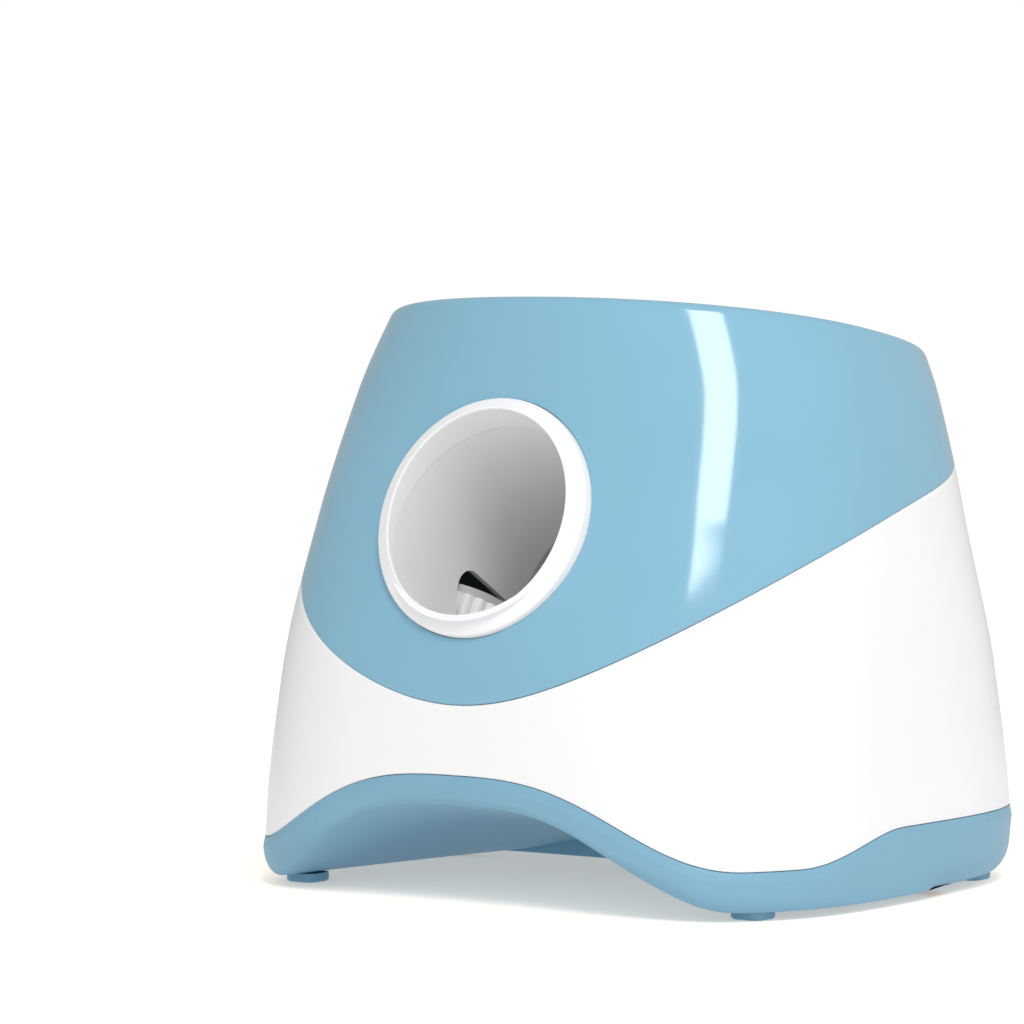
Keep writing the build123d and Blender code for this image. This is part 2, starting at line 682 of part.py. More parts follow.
tyre_top = -WHEEL_TOP - COLLAR_THICKNESS
tyre = fluted_disc(WHEEL_RADIUS, -WHEEL_BOTTOM, tyre_top) - turned(HUB_RADIUS, -BIG, BIG)
hub = turned(HUB_RADIUS, -WHEEL_BOTTOM, tyre_top)
hub += turned(WHEEL_RADIUS - FLUTE_DEPTH, tyre_top, -WHEEL_TOP)
shaft_top = -WHEEL_TOP - SHAFT_COVER
hub -= turned(SHAFT_RADIUS, -BIG, shaft_top)
motor_face = platform_bottom
motor_end = motor_face - MOTOR_LENGTH
cap_end = motor_end - MOTOR_CAP
shaft = turned(SHAFT_RADIUS, cap_end + 0.5, shaft_top)
bearing_bore = SHAFT_RADIUS + RUNNING_CLEARANCE
motor = turned(MOTOR_RADIUS, motor_end, motor_face) + turned(MOTOR_NOSE, motor_face, motor_face + NOSE_LENGTH)
motor -= turned(bearing_bore, -BIG, BIG)
motor_cap = turned(MOTOR_RADIUS - 0.6, cap_end, motor_end) - turned(bearing_bore, -BIG, BIG)
for side in (-1, 1):
    motor_cap += block((side * 8 - 0.4, -1.5, cap_end - 5), (side * 8 + 0.4, 1.5, cap_end))
motor_screw_spots = [(-MOTOR_SCREW_OFFSET, 0), (MOTOR_SCREW_OFFSET, 0)]
for x, y in motor_screw_spots:
    motor -= Pos(x, y, 0) * turned(SCREW_RADIUS, motor_face - 4, motor_face)
motor_screws = []
for side in (-1, 1):
    holes = turned(MOTOR_NOSE + NOSE_GAP, platform_bottom - 1, platform_top + 1)
    for x, y in motor_screw_spots:
        holes += Pos(x, y, 0) * turned(SCREW_RADIUS, platform_bottom - 1, platform_top + 1)
        fixing = Pos(x, y, platform_top) * screw(PLATFORM + 4, head=MOTOR_SCREW_HEAD)
        motor_screws.append(wheel_location(side) * fixing)
    barrel -= wheel_location(side) * holes

# ---------------------------------------------------------------- feed chute
throat_rear = THROAT_Y + THROAT_RADIUS
chute_wall = BARREL_WALL
chute_top = THROAT_TOP - HOPPER_WALL - SEAM_GAP


def chute_hollow(wall):
    """The way of the ball, from the throat down to the elbow; a wall makes it larger."""
    run = in_chute(turned(BORE + wall, -BIG, 0)) & behind_elbow
    run = run & block((-BIG, -BIG, -BIG), (BIG, throat_rear + wall, BIG))
    run = run & below(chute_top - 8)
    drop = Pos(0, THROAT_Y, 0) * turned(THROAT_RADIUS + wall, chute_axis_height(THROAT_Y), chute_top)
    return run + drop


feed_chute = chute_hollow(chute_wall)
for y in rib_spots:
    low = (-RIB_HALF_WIDTH, y - RIB_THICKNESS / 2, housing_top)
    feed_chute += block(low, (RIB_HALF_WIDTH, y + RIB_THICKNESS / 2, chute_axis_height(y)))
    low = (-RIB_HALF_WIDTH, y - RIB_THICKNESS / 2, housing_top)
    feed_chute += block(low, (RIB_HALF_WIDTH, y + RIB_FLANGE, housing_top + RIB_FOOT))

# wing that carries the gate and its motor
gate_pivot = Vector(GATE_PIVOT_X, GATE_Y, chute_axis_height(GATE_Y) + GATE_PIVOT_RISE)
centre_distance = GEAR_MODULE * (SECTOR_TEETH + PINION_TEETH) / 2
mesh = radians(MESH_ANGLE)
pinion_x = GATE_PIVOT_X + centre_distance * cos(mesh)
pinion_z = gate_pivot.Z + centre_distance * sin(mesh)
wing_front = GATE_Y + GATE_THICKNESS / 2 + WING_GAP
wing_rear = wing_front + WING
feed_chute += block((30, wing_front, gate_pivot.Z - 14), (WING_STEP + 1, wing_rear, chute_top))
feed_chute += block((WING_STEP, wing_front, gate_pivot.Z - 14), (pinion_x + 16, wing_rear, pinion_z + 14))

# wing that carries the ball lever and its switch
lever_axis_z = chute_axis_height(THROAT_Y) + LEVER_PIVOT_RISE
lever_wing = THROAT_Y + LEVER_THICKNESS / 2 + WING_GAP
feed_chute += block(
    (LEVER_PIVOT_X - 18, lever_wing, lever_axis_z - 9),
    (-30, lever_wing + WING, lever_axis_z + 20),
)
feed_chute -= chute_hollow(0)
feed_chute -= in_chute(turned(BORE, -20, 60))
feed_chute -= window

# slits for the gate arm and the lever
slit = GATE_THICKNESS / 2 + GATE_SIDE_GAP


def front_view(x, y, z):
    """Drawing plane across the body at a point: x across, y up, z to the front."""
    return Plane(origin=(x, y, z), x_dir=ACROSS, z_dir=FORWARD).location


gate_view = front_view(gate_pivot.X, gate_pivot.Y, gate_pivot.Z)
ball_level = chute_axis_height(GATE_Y) - ball_drop / cos(feed)
tip_x = GATE_TIP_X - GATE_PIVOT_X
tip_z = ball_level - gate_pivot.Z
arm_length = hypot(tip_x, tip_z)
arm_angle = 180 + degrees(atan(tip_z / tip_x))


def wedge(start, end, radius, half_thickness):
    """A pie slice about Z between two angles in degrees."""
    steps = 6
    angles = [radians(start + (end - start) * i / steps) for i in range(steps + 1)]
    rim = [(radius * cos(a), radius * sin(a)) for a in angles]
    face = make_face(Polyline((0, 0), *rim, close=True))
    return Pos(0, 0, -half_thickness) * extrude(face, 2 * half_thickness, dir=(0, 0, 1))


sweep = wedge(arm_angle - 14, arm_angle + GATE_TRAVEL + 12, 2 * arm_length, slit)
sweep = sweep & turned(arm_length + 2, -slit, slit)
sweep += turned(GATE_HUB + 14, -slit, slit)
feed_chute -= gate_view * sweep
lever_slit = LEVER_THICKNESS / 2 + LEVER_SIDE_GAP
feed_chute -= block(
    (LEVER_PIVOT_X - 2, THROAT_Y - lever_slit, lever_axis_z - 26),
    (-25, lever_wing, lever_axis_z + 4.5),
)
feed_chute -= gate_view * turned(GATE_PIN, -20, 20)
feed_chute -= front_view(pinion_x, 0, pinion_z) * turned(5.0, -20, 20)
feed_chute -= front_view(LEVER_PIVOT_X, 0, lever_axis_z) * turned(LEVER_PIN, -60, 0)
gate_screw_spots = []
for way in (-1, 1):
    ear = (pinion_x - way * GEARBOX_EAR * sin(mesh), pinion_z + way * GEARBOX_EAR * cos(mesh))
    gate_screw_spots.append(ear)
for x, z in gate_screw_spots:
    feed_chute -= front_view(x, 0, z) * turned(SCREW_RADIUS, -20, 20)
for y in rib_spots:
    for side in (-1, 1):
        feed_chute -= Pos(side * rib_screw_x, y + RIB_SCREW, 0) * turned(SCREW_RADIUS, 0, housing_top + 6)

# ---------------------------------------------------------------- ball gate
flank = radians(PRESSURE_ANGLE)


def involute(angle):
    return tan(angle) - angle


def gear_face(teeth, first_tooth):
    """Outline of a spur gear with one tooth centred on a given angle in degrees."""
    pitch = GEAR_MODULE * teeth / 2
    base = pitch * cos(flank)
    tip, root = pitch + ADDENDUM * GEAR_MODULE, pitch - DEDENDUM * GEAR_MODULE
    half_tooth = pi / (2 * teeth) - BACKLASH / (4 * pitch)
    low = max(base, root)
    radii = [low + (tip - low) * i / 3 for i in range(4)]
    if root < base:
        radii.insert(0, root)
    widths = [half_tooth + involute(flank) - involute(acos(min(1.0, base / r))) for r in radii]
    points = []
    for i in range(teeth):
        middle = radians(first_tooth) + 2 * pi * i / teeth
        points += [(r * cos(middle - w), r * sin(middle - w)) for r, w in zip(radii, widths)]
        points += [(r * cos(middle + w), r * sin(middle + w)) for r, w in reversed(list(zip(radii, widths)))]
    return make_face(Polyline(*points, close=True))


def gear(teeth, first_tooth, half_thickness):
    face = gear_face(teeth, first_tooth)
    return Pos(0, 0, -half_thickness) * extrude(face, 2 * half_thickness, dir=(0, 0, 1))


half_gate = GATE_THICKNESS / 2
tooth_step = 360 / SECTOR_TEETH
sector_end = MESH_ANGLE + 1.5 * tooth_step
sector_start = MESH_ANGLE - GATE_TRAVEL - 1.5 * tooth_step
gate_arm = gear(SECTOR_TEETH, MESH_ANGLE, half_gate) & wedge(sector_start, sector_end, 60, half_gate)
gate_arm += turned(GATE_HUB, -half_gate, half_gate)
half_arm = GATE_ARM_WIDTH / 2
bar = block((0, -half_arm, -half_gate), (arm_length - half_arm, half_arm, half_gate))
bar += Pos(arm_length - half_arm, 0, 0) * turned(half_arm, -half_gate, half_gate)
gate_arm += Rot(0, 0, arm_angle) * bar
gate_arm -= turned(GATE_PIN + RUNNING_CLEARANCE, -10, 10)
gate_arm = gate_view * gate_arm

to_wing_rear = GATE_Y - wing_rear
pin_head = half_gate + PIN_FREE_LENGTH
gate_pin = gate_view * (
    turned(GATE_PIN, to_wing_rear, pin_head) + turned(GATE_PIN_HEAD, pin_head, half_gate + 2)
)
pinion_view = front_view(pinion_x, GATE_Y, pinion_z)
gate_pinion = pinion_view * (
    gear(PINION_TEETH, MESH_ANGLE + 180 + 180 / PINION_TEETH, half_gate) - turned(GATE_SHAFT, -10, 10)
)
gate_gearbox = pinion_view * (
    turned(GEARBOX_RADIUS, to_wing_rear - GEARBOX_LENGTH, to_wing_rear)
    + Rot(0, 0, MESH_ANGLE) * block(
        (-3.2, -GEARBOX_EAR - 3.2, to_wing_rear - EAR_THICKNESS), (3.2, GEARBOX_EAR + 3.2, to_wing_rear)
    )
    - turned(GATE_SHAFT + RUNNING_CLEARANCE, to_wing_rear - 8, 10)
)
for x, z in gate_screw_spots:
    gate_gearbox -= front_view(x, wing_rear, z) * turned(SCREW_RADIUS, -4, 1)
motor_rear = to_wing_rear - GEARBOX_LENGTH - GATE_MOTOR_LENGTH
gate_motor = pinion_view * (
    turned(GATE_MOTOR_RADIUS, motor_rear, motor_rear + GATE_MOTOR_LENGTH)
    + turned(3, motor_rear - 1.5, motor_rear)
)
gate_shaft = pinion_view * turned(GATE_SHAFT, to_wing_rear - 7.5, half_gate + 1)
gate_screws = []
for x, z in gate_screw_spots:
    gate_screws.append(front_view(x, wing_front, z) * screw(WING + EAR_THICKNESS, head=SMALL_HEAD))

# ---------------------------------------------------------------- ball lever and switch
lever_view = front_view(LEVER_PIVOT_X, THROAT_Y, lever_axis_z)
lever_half = LEVER_THICKNESS / 2
lever_reach = LEVER_TIP_X - LEVER_PIVOT_X


def bar_between(start, end, width):
    """A flat bar with round ends in the lever's drawing plane."""
    run = Vector(*end) - Vector(*start)
    bar = Pos(run.length / 2, 0, 0) * Box(run.length, width, 2 * lever_half)
    bar += turned(width / 2, -lever_half, lever_half)
    bar += Pos(run.length, 0, 0) * turned(width / 2, -lever_half, lever_half)
    turn = degrees(atan(run.Y / run.X)) + (180 if run.X < 0 else 0)
    return Pos(*start) * Rot(0, 0, turn) * bar


knee = (2.5, -11.0)
ball_lever = bar_between((0, 0), knee, 4) + bar_between(knee, (lever_reach - 2, -19), 4)
ball_lever += bar_between((0, 0), (-4.5, 11), 3.4)
ball_lever += turned(3.6, -lever_half, lever_half)
ball_lever = lever_view * (ball_lever - turned(LEVER_PIN + RUNNING_CLEARANCE, -10, 10))
lever_pin = lever_view * (
    turned(LEVER_PIN, THROAT_Y - lever_wing - WING, lever_half + PIN_FREE_LENGTH)
    + turned(LEVER_PIN_HEAD, lever_half + PIN_FREE_LENGTH, lever_half + 1.6)
)
switch_right = LEVER_PIVOT_X - 7.7
ball_switch = block(
    (switch_right - 7, lever_wing - 7, lever_axis_z - 1),
    (switch_right, lever_wing, lever_axis_z + 18),
)
ball_switch += Pos(switch_right, lever_wing - 3.5, lever_axis_z + 11) * Rot(0, 90, 0) * turned(1.0, -1, 1.2)

# ---------------------------------------------------------------- hopper bowl
def bowl_form(wall):
    """The hopper's hollow from the throat up past the rim; a wall makes it larger."""
    wires = []
    for rise in BOWL_LEVELS:
        height = THROAT_TOP + rise
        way_out = smooth_between(BOWL_RISES, BOWL_SHARES, rise)
        level = height - wall * (1 - way_out)
        points = []
        for angle in outline_angles():
            edge = form_point(angle, height, LIP_INSET + LIP_LEDGE + FUNNEL_LEDGE - wall)
            radius = THROAT_RADIUS + wall
            throat = Vector(radius * cos(angle), THROAT_Y + radius * sin(angle), height)
            point = throat + (edge - throat) * way_out
            points.append(Vector(point.X, point.Y, level))
        wires.append(outline_wire(points))
    return Solid.make_loft(wires)


flange = (form(LIP_INSET + FIT_GAP) & above_rim(FLANGE)) - above_rim(0)
hopper_bowl = bowl_form(HOPPER_WALL) - below(THROAT_TOP - HOPPER_WALL) - above_rim(FLANGE / 2) + flange
hopper_bowl -= bowl_form(0)

# ---------------------------------------------------------------- control panel, buttons, board
panel_back = SHELL_STEP + WALL + FIT_GAP
control_panel = (shell_outer - form(panel_back + PANEL_BACK)) & panel_prism(0)
control_panel += (form(panel_back) - form(panel_back + PANEL_BACK)) & panel_prism(PANEL_FLANGE)
post_x, post_y = BOARD_WIDTH / 2 - 4, BOARD_TALL / 2 - 4
board_posts = [(sx * post_x, sy * post_y) for sx in (-1, 1) for sy in (-1, 1)]
control_panel += panel_plane.location * group(
    [Pos(x, y, 0) * turned(3, -BOARD_DEPTH, -4) for x, y in board_posts]
)


def on_panel(shape):
    return panel_plane.location * shape


button_spots = {"power_button": (BUTTON_X, 0), "distance_button": (-BUTTON_X, 0)}
button = turned(BUTTON_RADIUS, -9, BUTTON_PROUD)
button = chamfer(button.faces().sort_by(Axis.Z)[-1].edges(), BUTTON_CHAMFER)
button += turned(BUTTON_RADIUS + 1.5, -10.5, -9) + turned(2, -BOARD_DEPTH + 3.6, -10)
for x, y in button_spots.values():
    control_panel -= on_panel(Pos(x, y, 0) * turned(BUTTON_RADIUS + FIT_GAP, -20, 5))
lens_spots = [(i * LENS_PITCH, 8) for i in (-1, 0, 1)]
for x, y in lens_spots:
    control_panel -= on_panel(Pos(x, y, 0) * turned(LENS_RADIUS, -20, 5))
for x, y in board_posts:
    control_panel -= on_panel(Pos(x, y, 0) * turned(1.0, -BOARD_DEPTH - 1, -8))
lenses = [on_panel(Pos(x, y, 0) * turned(LENS_RADIUS, -BOARD_DEPTH + 1, 0)) for x, y in lens_spots]

board_back = -BOARD_DEPTH - BOARD
half_wide, half_tall = BOARD_WIDTH / 2, BOARD_TALL / 2
main_board = block((-half_wide, -half_tall, board_back), (half_wide, half_tall, -BOARD_DEPTH))
for x, y in button_spots.values():
    main_board += block((x - 3, y - 3, -BOARD_DEPTH), (x + 3, y + 3, -BOARD_DEPTH + 2))
main_board += block((-8, -9, board_back - 2.4), (8, 7, board_back))
main_board += block((18, -10, board_back - 8), (30, -4, board_back))
main_board += Pos(-24, 2, 0) * turned(4, board_back - 9, board_back)
for x, y in board_posts:
    main_board -= Pos(x, y, 0) * turned(1.0, board_back - 1, -BOARD_DEPTH + 1)
main_board = on_panel(main_board)
board_screw = turned(2, -1.4, 0) + turned(1.0, 0, 7)
board_screws = [on_panel(Pos(x, y, board_back) * board_screw) for x, y in board_posts]

# ---------------------------------------------------------------- power inlet
dc_jack = turned(JACK_RADIUS, -JACK_LENGTH, JACK_PROUD) + turned(JACK_BEZEL, -BEZEL_RECESS, JACK_PROUD)
dc_jack -= turned(JACK_BORE, JACK_PROUD - JACK_BORE_DEPTH, 5)
jack_pin = turned(JACK_PIN, JACK_PROUD - JACK_BORE_DEPTH, JACK_PROUD - 1)
dc_jack = jack_plane.location * (dc_jack + jack_pin)

# ---------------------------------------------------------------- batteries
cell_xs = [(i - (CELLS - 1) / 2) * CELL_PITCH for i in range(CELLS)]


def cell(x, flip):
    """A round cell lying along Y, its raised button at one end."""
    body = turned(CELL_RADIUS, -CELL_LENGTH / 2, CELL_LENGTH / 2 - 1.5)
    body += turned(3.5, CELL_LENGTH / 2 - 1.5, CELL_LENGTH / 2)
    return Pos(x, BATTERY_Y, cell_height) * Rot(90 if flip else -90, 0, 0) * body


contact_y = CELL_LENGTH / 2 + CONTACT_SPACE - CONTACT_THICKNESS
contact_plates = []
for side in (-1, 1):
    for x in cell_xs:
        near = BATTERY_Y + side * CELL_LENGTH / 2
        far = BATTERY_Y + side * contact_y
        low, high = sorted((far, far + side * CONTACT_THICKNESS))
        plate = block((x - 9, low, cell_height - 9), (x + 9, high, cell_height + 9))
        middle = (near + far) / 2
        half_reach = abs(far - near) / 2
        plate += Pos(x, middle, cell_height) * Rot(90, 0, 0) * turned(3, -half_reach, half_reach)
        contact_plates.append(plate)
battery_door = block(
    (-housing_half_x + FIT_GAP, BATTERY_Y - housing_half_y + FIT_GAP, BOTTOM_HEIGHT),
    (housing_half_x - FIT_GAP, BATTERY_Y + housing_half_y - FIT_GAP, floor_top - 0.2),
)
for x in DOOR_TABS:
    low = (x - TAB_WIDTH / 2, door_front + FIT_GAP, BOTTOM_HEIGHT)
    battery_door += block(low, (x + TAB_WIDTH / 2, door_front + 3, floor_top + TAB_THICKNESS))
    low = (x - TAB_WIDTH / 2, door_front - HOUSING_WALL, floor_top + 0.1)
    battery_door += block(low, (x + TAB_WIDTH / 2, door_front + 3, floor_top + TAB_THICKNESS))
battery_door -= Pos(0, door_boss_y, 0) * turned(SCREW_RADIUS, 0, 20)
battery_door -= Pos(0, door_boss_y, 0) * turned(SCREW_HEAD - 0.6, 0, BOTTOM_HEIGHT + 1.2)
door_screw = turned(SCREW_HEAD - 0.8, BOTTOM_HEIGHT + 0.2, BOTTOM_HEIGHT + 1.2)
door_screw += turned(SCREW_RADIUS, BOTTOM_HEIGHT + 1.2, door_boss_top)
door_screw = Pos(0, door_boss_y, 0) * door_screw

# screws that hold the chute on the battery housing
chute_screws = []
for y in rib_spots:
    for side in (-1, 1):
        spot = Pos(side * rib_screw_x, y + RIB_SCREW, housing_top + RIB_FOOT)
        chute_screws.append(spot * screw(RIB_FOOT + HOUSING_WALL - 0.3, head=SMALL_HEAD))

# ---------------------------------------------------------------- hand over the pieces
pieces = {
    "base_tray": base_tray,
    "lower_shell": lower_shell,
    "hood": hood,
    "launch_ring": launch_ring,
    "launch_barrel": barrel,
    "hopper_bowl": hopper_bowl,
    "feed_chute": feed_chute,
    "base_screws": group(base_screws),
    "hood_screws": group(hood_screws),
    "ring_screws": group(ring_screws),
    "motor_screws": group(motor_screws),
    "gate_arm": gate_arm,
    "gate_pin": gate_pin,
    "gate_pinion": gate_pinion,
    "gate_gearbox": gate_gearbox,
    "gate_motor": gate_motor,
    "gate_motor_shaft": gate_shaft,
    "gate_screws": group(gate_screws),
    "ball_lever": ball_lever,
    "lever_pin": lever_pin,
    "ball_switch": ball_switch,
    "control_panel": control_panel,
    "indicator_lenses": group(lenses),
    "main_board": main_board,
    "board_screws": group(board_screws),
    "dc_jack": dc_jack,
    "battery_contacts": group(contact_plates),
    "battery_door": battery_door,
    "battery_door_screw": door_screw,
    "chute_screws": group(chute_screws),
}
for name, (x, y) in feet_spots.items():
    pieces[name] = Pos(x, y, 0) * foot
for name, (x, y) in button_spots.items():
    pieces[name] = on_panel(Pos(x, y, 0) * button)
for name, side in (("left", 1), ("right", -1)):
    at = wheel_location(side)
    pieces[f"launch_wheel_{name}"] = at * tyre
    pieces[f"wheel_hub_{name}"] = at * hub
    pieces[f"wheel_shaft_{name}"] = at * shaft
    pieces[f"wheel_motor_{name}"] = at * motor
    pieces[f"motor_cap_{name}"] = at * motor_cap
for i, x in enumerate(cell_xs):
    pieces[f"battery_cell_{i + 1}"] = cell(x, i % 2 == 1)

for name, shape in pieces.items():
    write(name, shape)
print("ring tilt", round(degrees(ring_tilt), 2), "ring centre", ring_centre, "elbow", elbow)
print("wheel axes", [wheel_location(side).position for side in (1, -1)], "up", barrel_up)
print("gate pivot", gate_pivot, "pinion", pinion_x, pinion_z, "lever axis", lever_axis_z)
print("panel", panel_plane.origin, panel_plane.z_dir, "jack", jack_plane.origin, jack_plane.z_dir)
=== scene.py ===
from math import atan2, cos, degrees, pi, radians, sin, tan

import bmesh
import bpy
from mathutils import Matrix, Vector


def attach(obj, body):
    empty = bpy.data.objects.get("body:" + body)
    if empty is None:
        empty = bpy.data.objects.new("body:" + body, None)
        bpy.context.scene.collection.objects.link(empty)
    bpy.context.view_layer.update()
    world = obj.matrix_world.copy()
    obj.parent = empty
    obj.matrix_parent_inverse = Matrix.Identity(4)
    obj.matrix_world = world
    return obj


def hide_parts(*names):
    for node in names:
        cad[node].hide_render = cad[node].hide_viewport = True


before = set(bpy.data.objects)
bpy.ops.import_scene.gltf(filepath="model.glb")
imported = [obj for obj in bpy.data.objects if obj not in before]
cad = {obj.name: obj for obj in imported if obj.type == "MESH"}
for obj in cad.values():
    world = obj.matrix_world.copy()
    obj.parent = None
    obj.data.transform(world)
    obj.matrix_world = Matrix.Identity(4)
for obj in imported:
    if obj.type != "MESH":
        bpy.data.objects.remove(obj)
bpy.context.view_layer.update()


# ================================================================= base tray
# Blue base moulding that everything stands in. One injection-moulded tray: a wavy upper edge with a light
# bevel, an arch in the front, and a scooped underside that ends in a small step ahead of the battery door.
STATION_HEIGHTS = (0.0, 30.0, 84.0, 144.0, 192.0, 240.0)
SIDE_TAPER = (0.0, 0.0, 3.0, 8.5, 17.0, 37.5)
FRONT_TAPER = (0.0, 0.0, 2.5, 18.5, 35.3, 48.2)
REAR_TAPER = (0.0, 0.0, 3.0, 16.5, 20.0, 20.5)
HALF_WIDTH = 132.0
HALF_LENGTH = 125.5
BASE_ROUNDNESS = 3.4
TOP_ROUNDNESS = 2.05
SHELL_SET_IN = 0.6
WALL = 2.6
BOTTOM = 3.5
ARCH_TOP = 50.5
ARCH_HALF_WIDTH = 112.0
ARCH_FULLNESS = 1.5
CORNER_HEIGHT = 18.8
SIDE_HEIGHT = 30.0
WAVE_FRONT = -76.0
WAVE_REAR = -16.0
SCOOP_FRONT = 130.5
SCOOP_TOP = 41.0
STEP_Y = 28.5
STEP_HEIGHT = 13.0
STEP_HALF_WIDTH = 92.0
STEP_SHARE = 0.93
STEP_ROUNDING = 0.8
STEP_COLUMNS = 60
BEVEL_HEIGHT = 4.0
# the upper edge from inside to outside: how far in from the wall, and how far below the edge
TOP_EDGE = ((WALL + SHELL_SET_IN, 4.0), (WALL + SHELL_SET_IN, 0.2), (1.4, 0.0), (0.75, 0.05), (0.5, 0.3))
BEVEL_SHARES = (0.25, 0.6, 0.92)
CREASE = (0.02, 0.25)
LEAN = 0.12
ROUND_UP = 12.0
ROUND_IN = 8.0
# the rounding is small over the arch and grows to its full size towards the corners
ARCH_ROUNDING = 2.5
ARCH_START = 8.0
ARCH_BLEND = 20.0
ROUND_SHARE = 0.85
DOOR_SIDE = 54.4
DOOR_FRONT = 33.0
DOOR_REAR = 91.0
DOOR_DEPTH = 3.0
# the columns behind the step end on the door's sides between these turns, in degrees
DOOR_TURNS = (0.0, 20.0, 55.0, 125.0, 160.0, 180.0)
WALL_ROWS = 8
ROUND_ROWS = 9
UNDER_ROWS = 26
COLUMNS = 360


def smooth_between(knots, values, at):
    """Monotone curve through the stations of the body's form."""
    last = len(knots) - 1
    slopes = [(values[i + 1] - values[i]) / (knots[i + 1] - knots[i]) for i in range(last)]
    tangents = [slopes[0]]
    for before, after in zip(slopes, slopes[1:]):
        tangents.append(2 * before * after / (before + after) if before * after > 0 else 0.0)
    tangents.append(slopes[-1])
    span = 0
    while span < last - 1 and at >= knots[span + 1]:
        span += 1
    step = knots[span + 1] - knots[span]
    t = (at - knots[span]) / step
    start = (1 + 2 * t) * (1 - t) ** 2 * values[span] + t * (1 - t) ** 2 * step * tangents[span]
    end = t * t * (3 - 2 * t) * values[span + 1] - t * t * (1 - t) * step * tangents[span + 1]
    return start + end


def ease(share):
    share = min(1.0, max(0.0, share))
    return share * share * (3 - 2 * share)


def form_point(angle, height, inset):
    """A point of the body's outline in millimetres, taken in by an inset."""
    wide = HALF_WIDTH - smooth_between(STATION_HEIGHTS, SIDE_TAPER, height) - inset
    taper = FRONT_TAPER if sin(angle) < 0 else REAR_TAPER
    deep = HALF_LENGTH - smooth_between(STATION_HEIGHTS, taper, height) - inset
    power = BASE_ROUNDNESS + (TOP_ROUNDNESS - BASE_ROUNDNESS) * height / STATION_HEIGHTS[-1]
    radius = (abs(cos(angle) / wide) ** power + abs(sin(angle) / deep) ** power) ** (-1 / power)
    return Vector((radius * cos(angle), radius * sin(angle), height))


def arch(x, half):
    """Share of the arch's rise at a distance across: 1 at the crown, 0 at the foot."""
    return (1 + cos(pi * min(1.0, abs(x) / half) ** ARCH_FULLNESS)) / 2


def base_edge_height(x, y):
    """Upper edge of the base: an arch across the front and a wave along each side."""
    if y < WAVE_FRONT:
        return CORNER_HEIGHT + (ARCH_TOP - CORNER_HEIGHT) * arch(x, ARCH_HALF_WIDTH)
    return CORNER_HEIGHT + (SIDE_HEIGHT - CORNER_HEIGHT) * ease((y - WAVE_FRONT) / (WAVE_REAR - WAVE_FRONT))


def scoop_height(x, y):
    """Underside of the base: the hollow behind the front arch, flat behind the step."""
    if y > STEP_Y:
        return BOTTOM
    back = (y + SCOOP_FRONT) / (STEP_Y + SCOOP_FRONT)
    crown = SCOOP_TOP + (STEP_HEIGHT - SCOOP_TOP) * back
    half = ARCH_HALF_WIDTH + (STEP_HALF_WIDTH - ARCH_HALF_WIDTH) * back
    return BOTTOM + (crown - BOTTOM) * arch(x, half)


def on_wall(angle, inset, height_at):
    """The wall's point on a border whose height depends on where it is."""
    point = form_point(angle, 30.0, inset)
    for _ in range(12):
        point = form_point(angle, height_at(point.x, point.y), inset)
    return point


def rounded_corner(corner, up_wall, inward, radius, steps=7):
    """Arc that rounds the corner between the wall and the face that meets it."""
    up_wall = up_wall.normalized()
    inward = inward.normalized()
    half = up_wall.angle(inward) / 2
    reach = radius / tan(half)
    middle = corner + (up_wall + inward).normalized() * (radius / sin(half))
    first = corner + up_wall * reach - middle
    last = corner + inward * reach - middle
    spread = first.angle(last)
    arc = []
    for i in range(steps + 1):
        share = i / steps
        turned = (first * sin((1 - share) * spread) + last * sin(share * spread)) / sin(spread)
        arc.append(middle + turned)
    return arc


METRES = 0.001


def skin(name, strips, closed_across=True, closed_along=False, flip=False):
    """A mesh object from strips of points in millimetres: one strip per column."""
    columns, rows = len(strips), len(strips[0])
    points = [tuple(p * METRES) for strip in strips for p in strip]
    faces = []
    for i in range(columns if closed_across else columns - 1):
        for j in range(rows if closed_along else rows - 1):
            a = i * rows + j
            b = ((i + 1) % columns) * rows + j
            step = 1 if j + 1 < rows else 1 - rows
            faces.append((a, a + step, b + step, b) if flip else (a, b, b + step, a + step))
    mesh = bpy.data.meshes.new(name)
    mesh.from_pydata(points, [], faces)
    mesh.update()
    made = bpy.data.objects.new(name, mesh)
    bpy.context.scene.collection.objects.link(made)
    return made


def smooth(made, sharp=40.0):
    """Smooth shading that stays crisp across real edges."""
    mesh = made.data
    mesh.shade_smooth()
    mesh.set_sharp_from_angle(angle=radians(sharp))


def finish_with(made, material):
    made.data.materials.clear()
    made.data.materials.append(material)


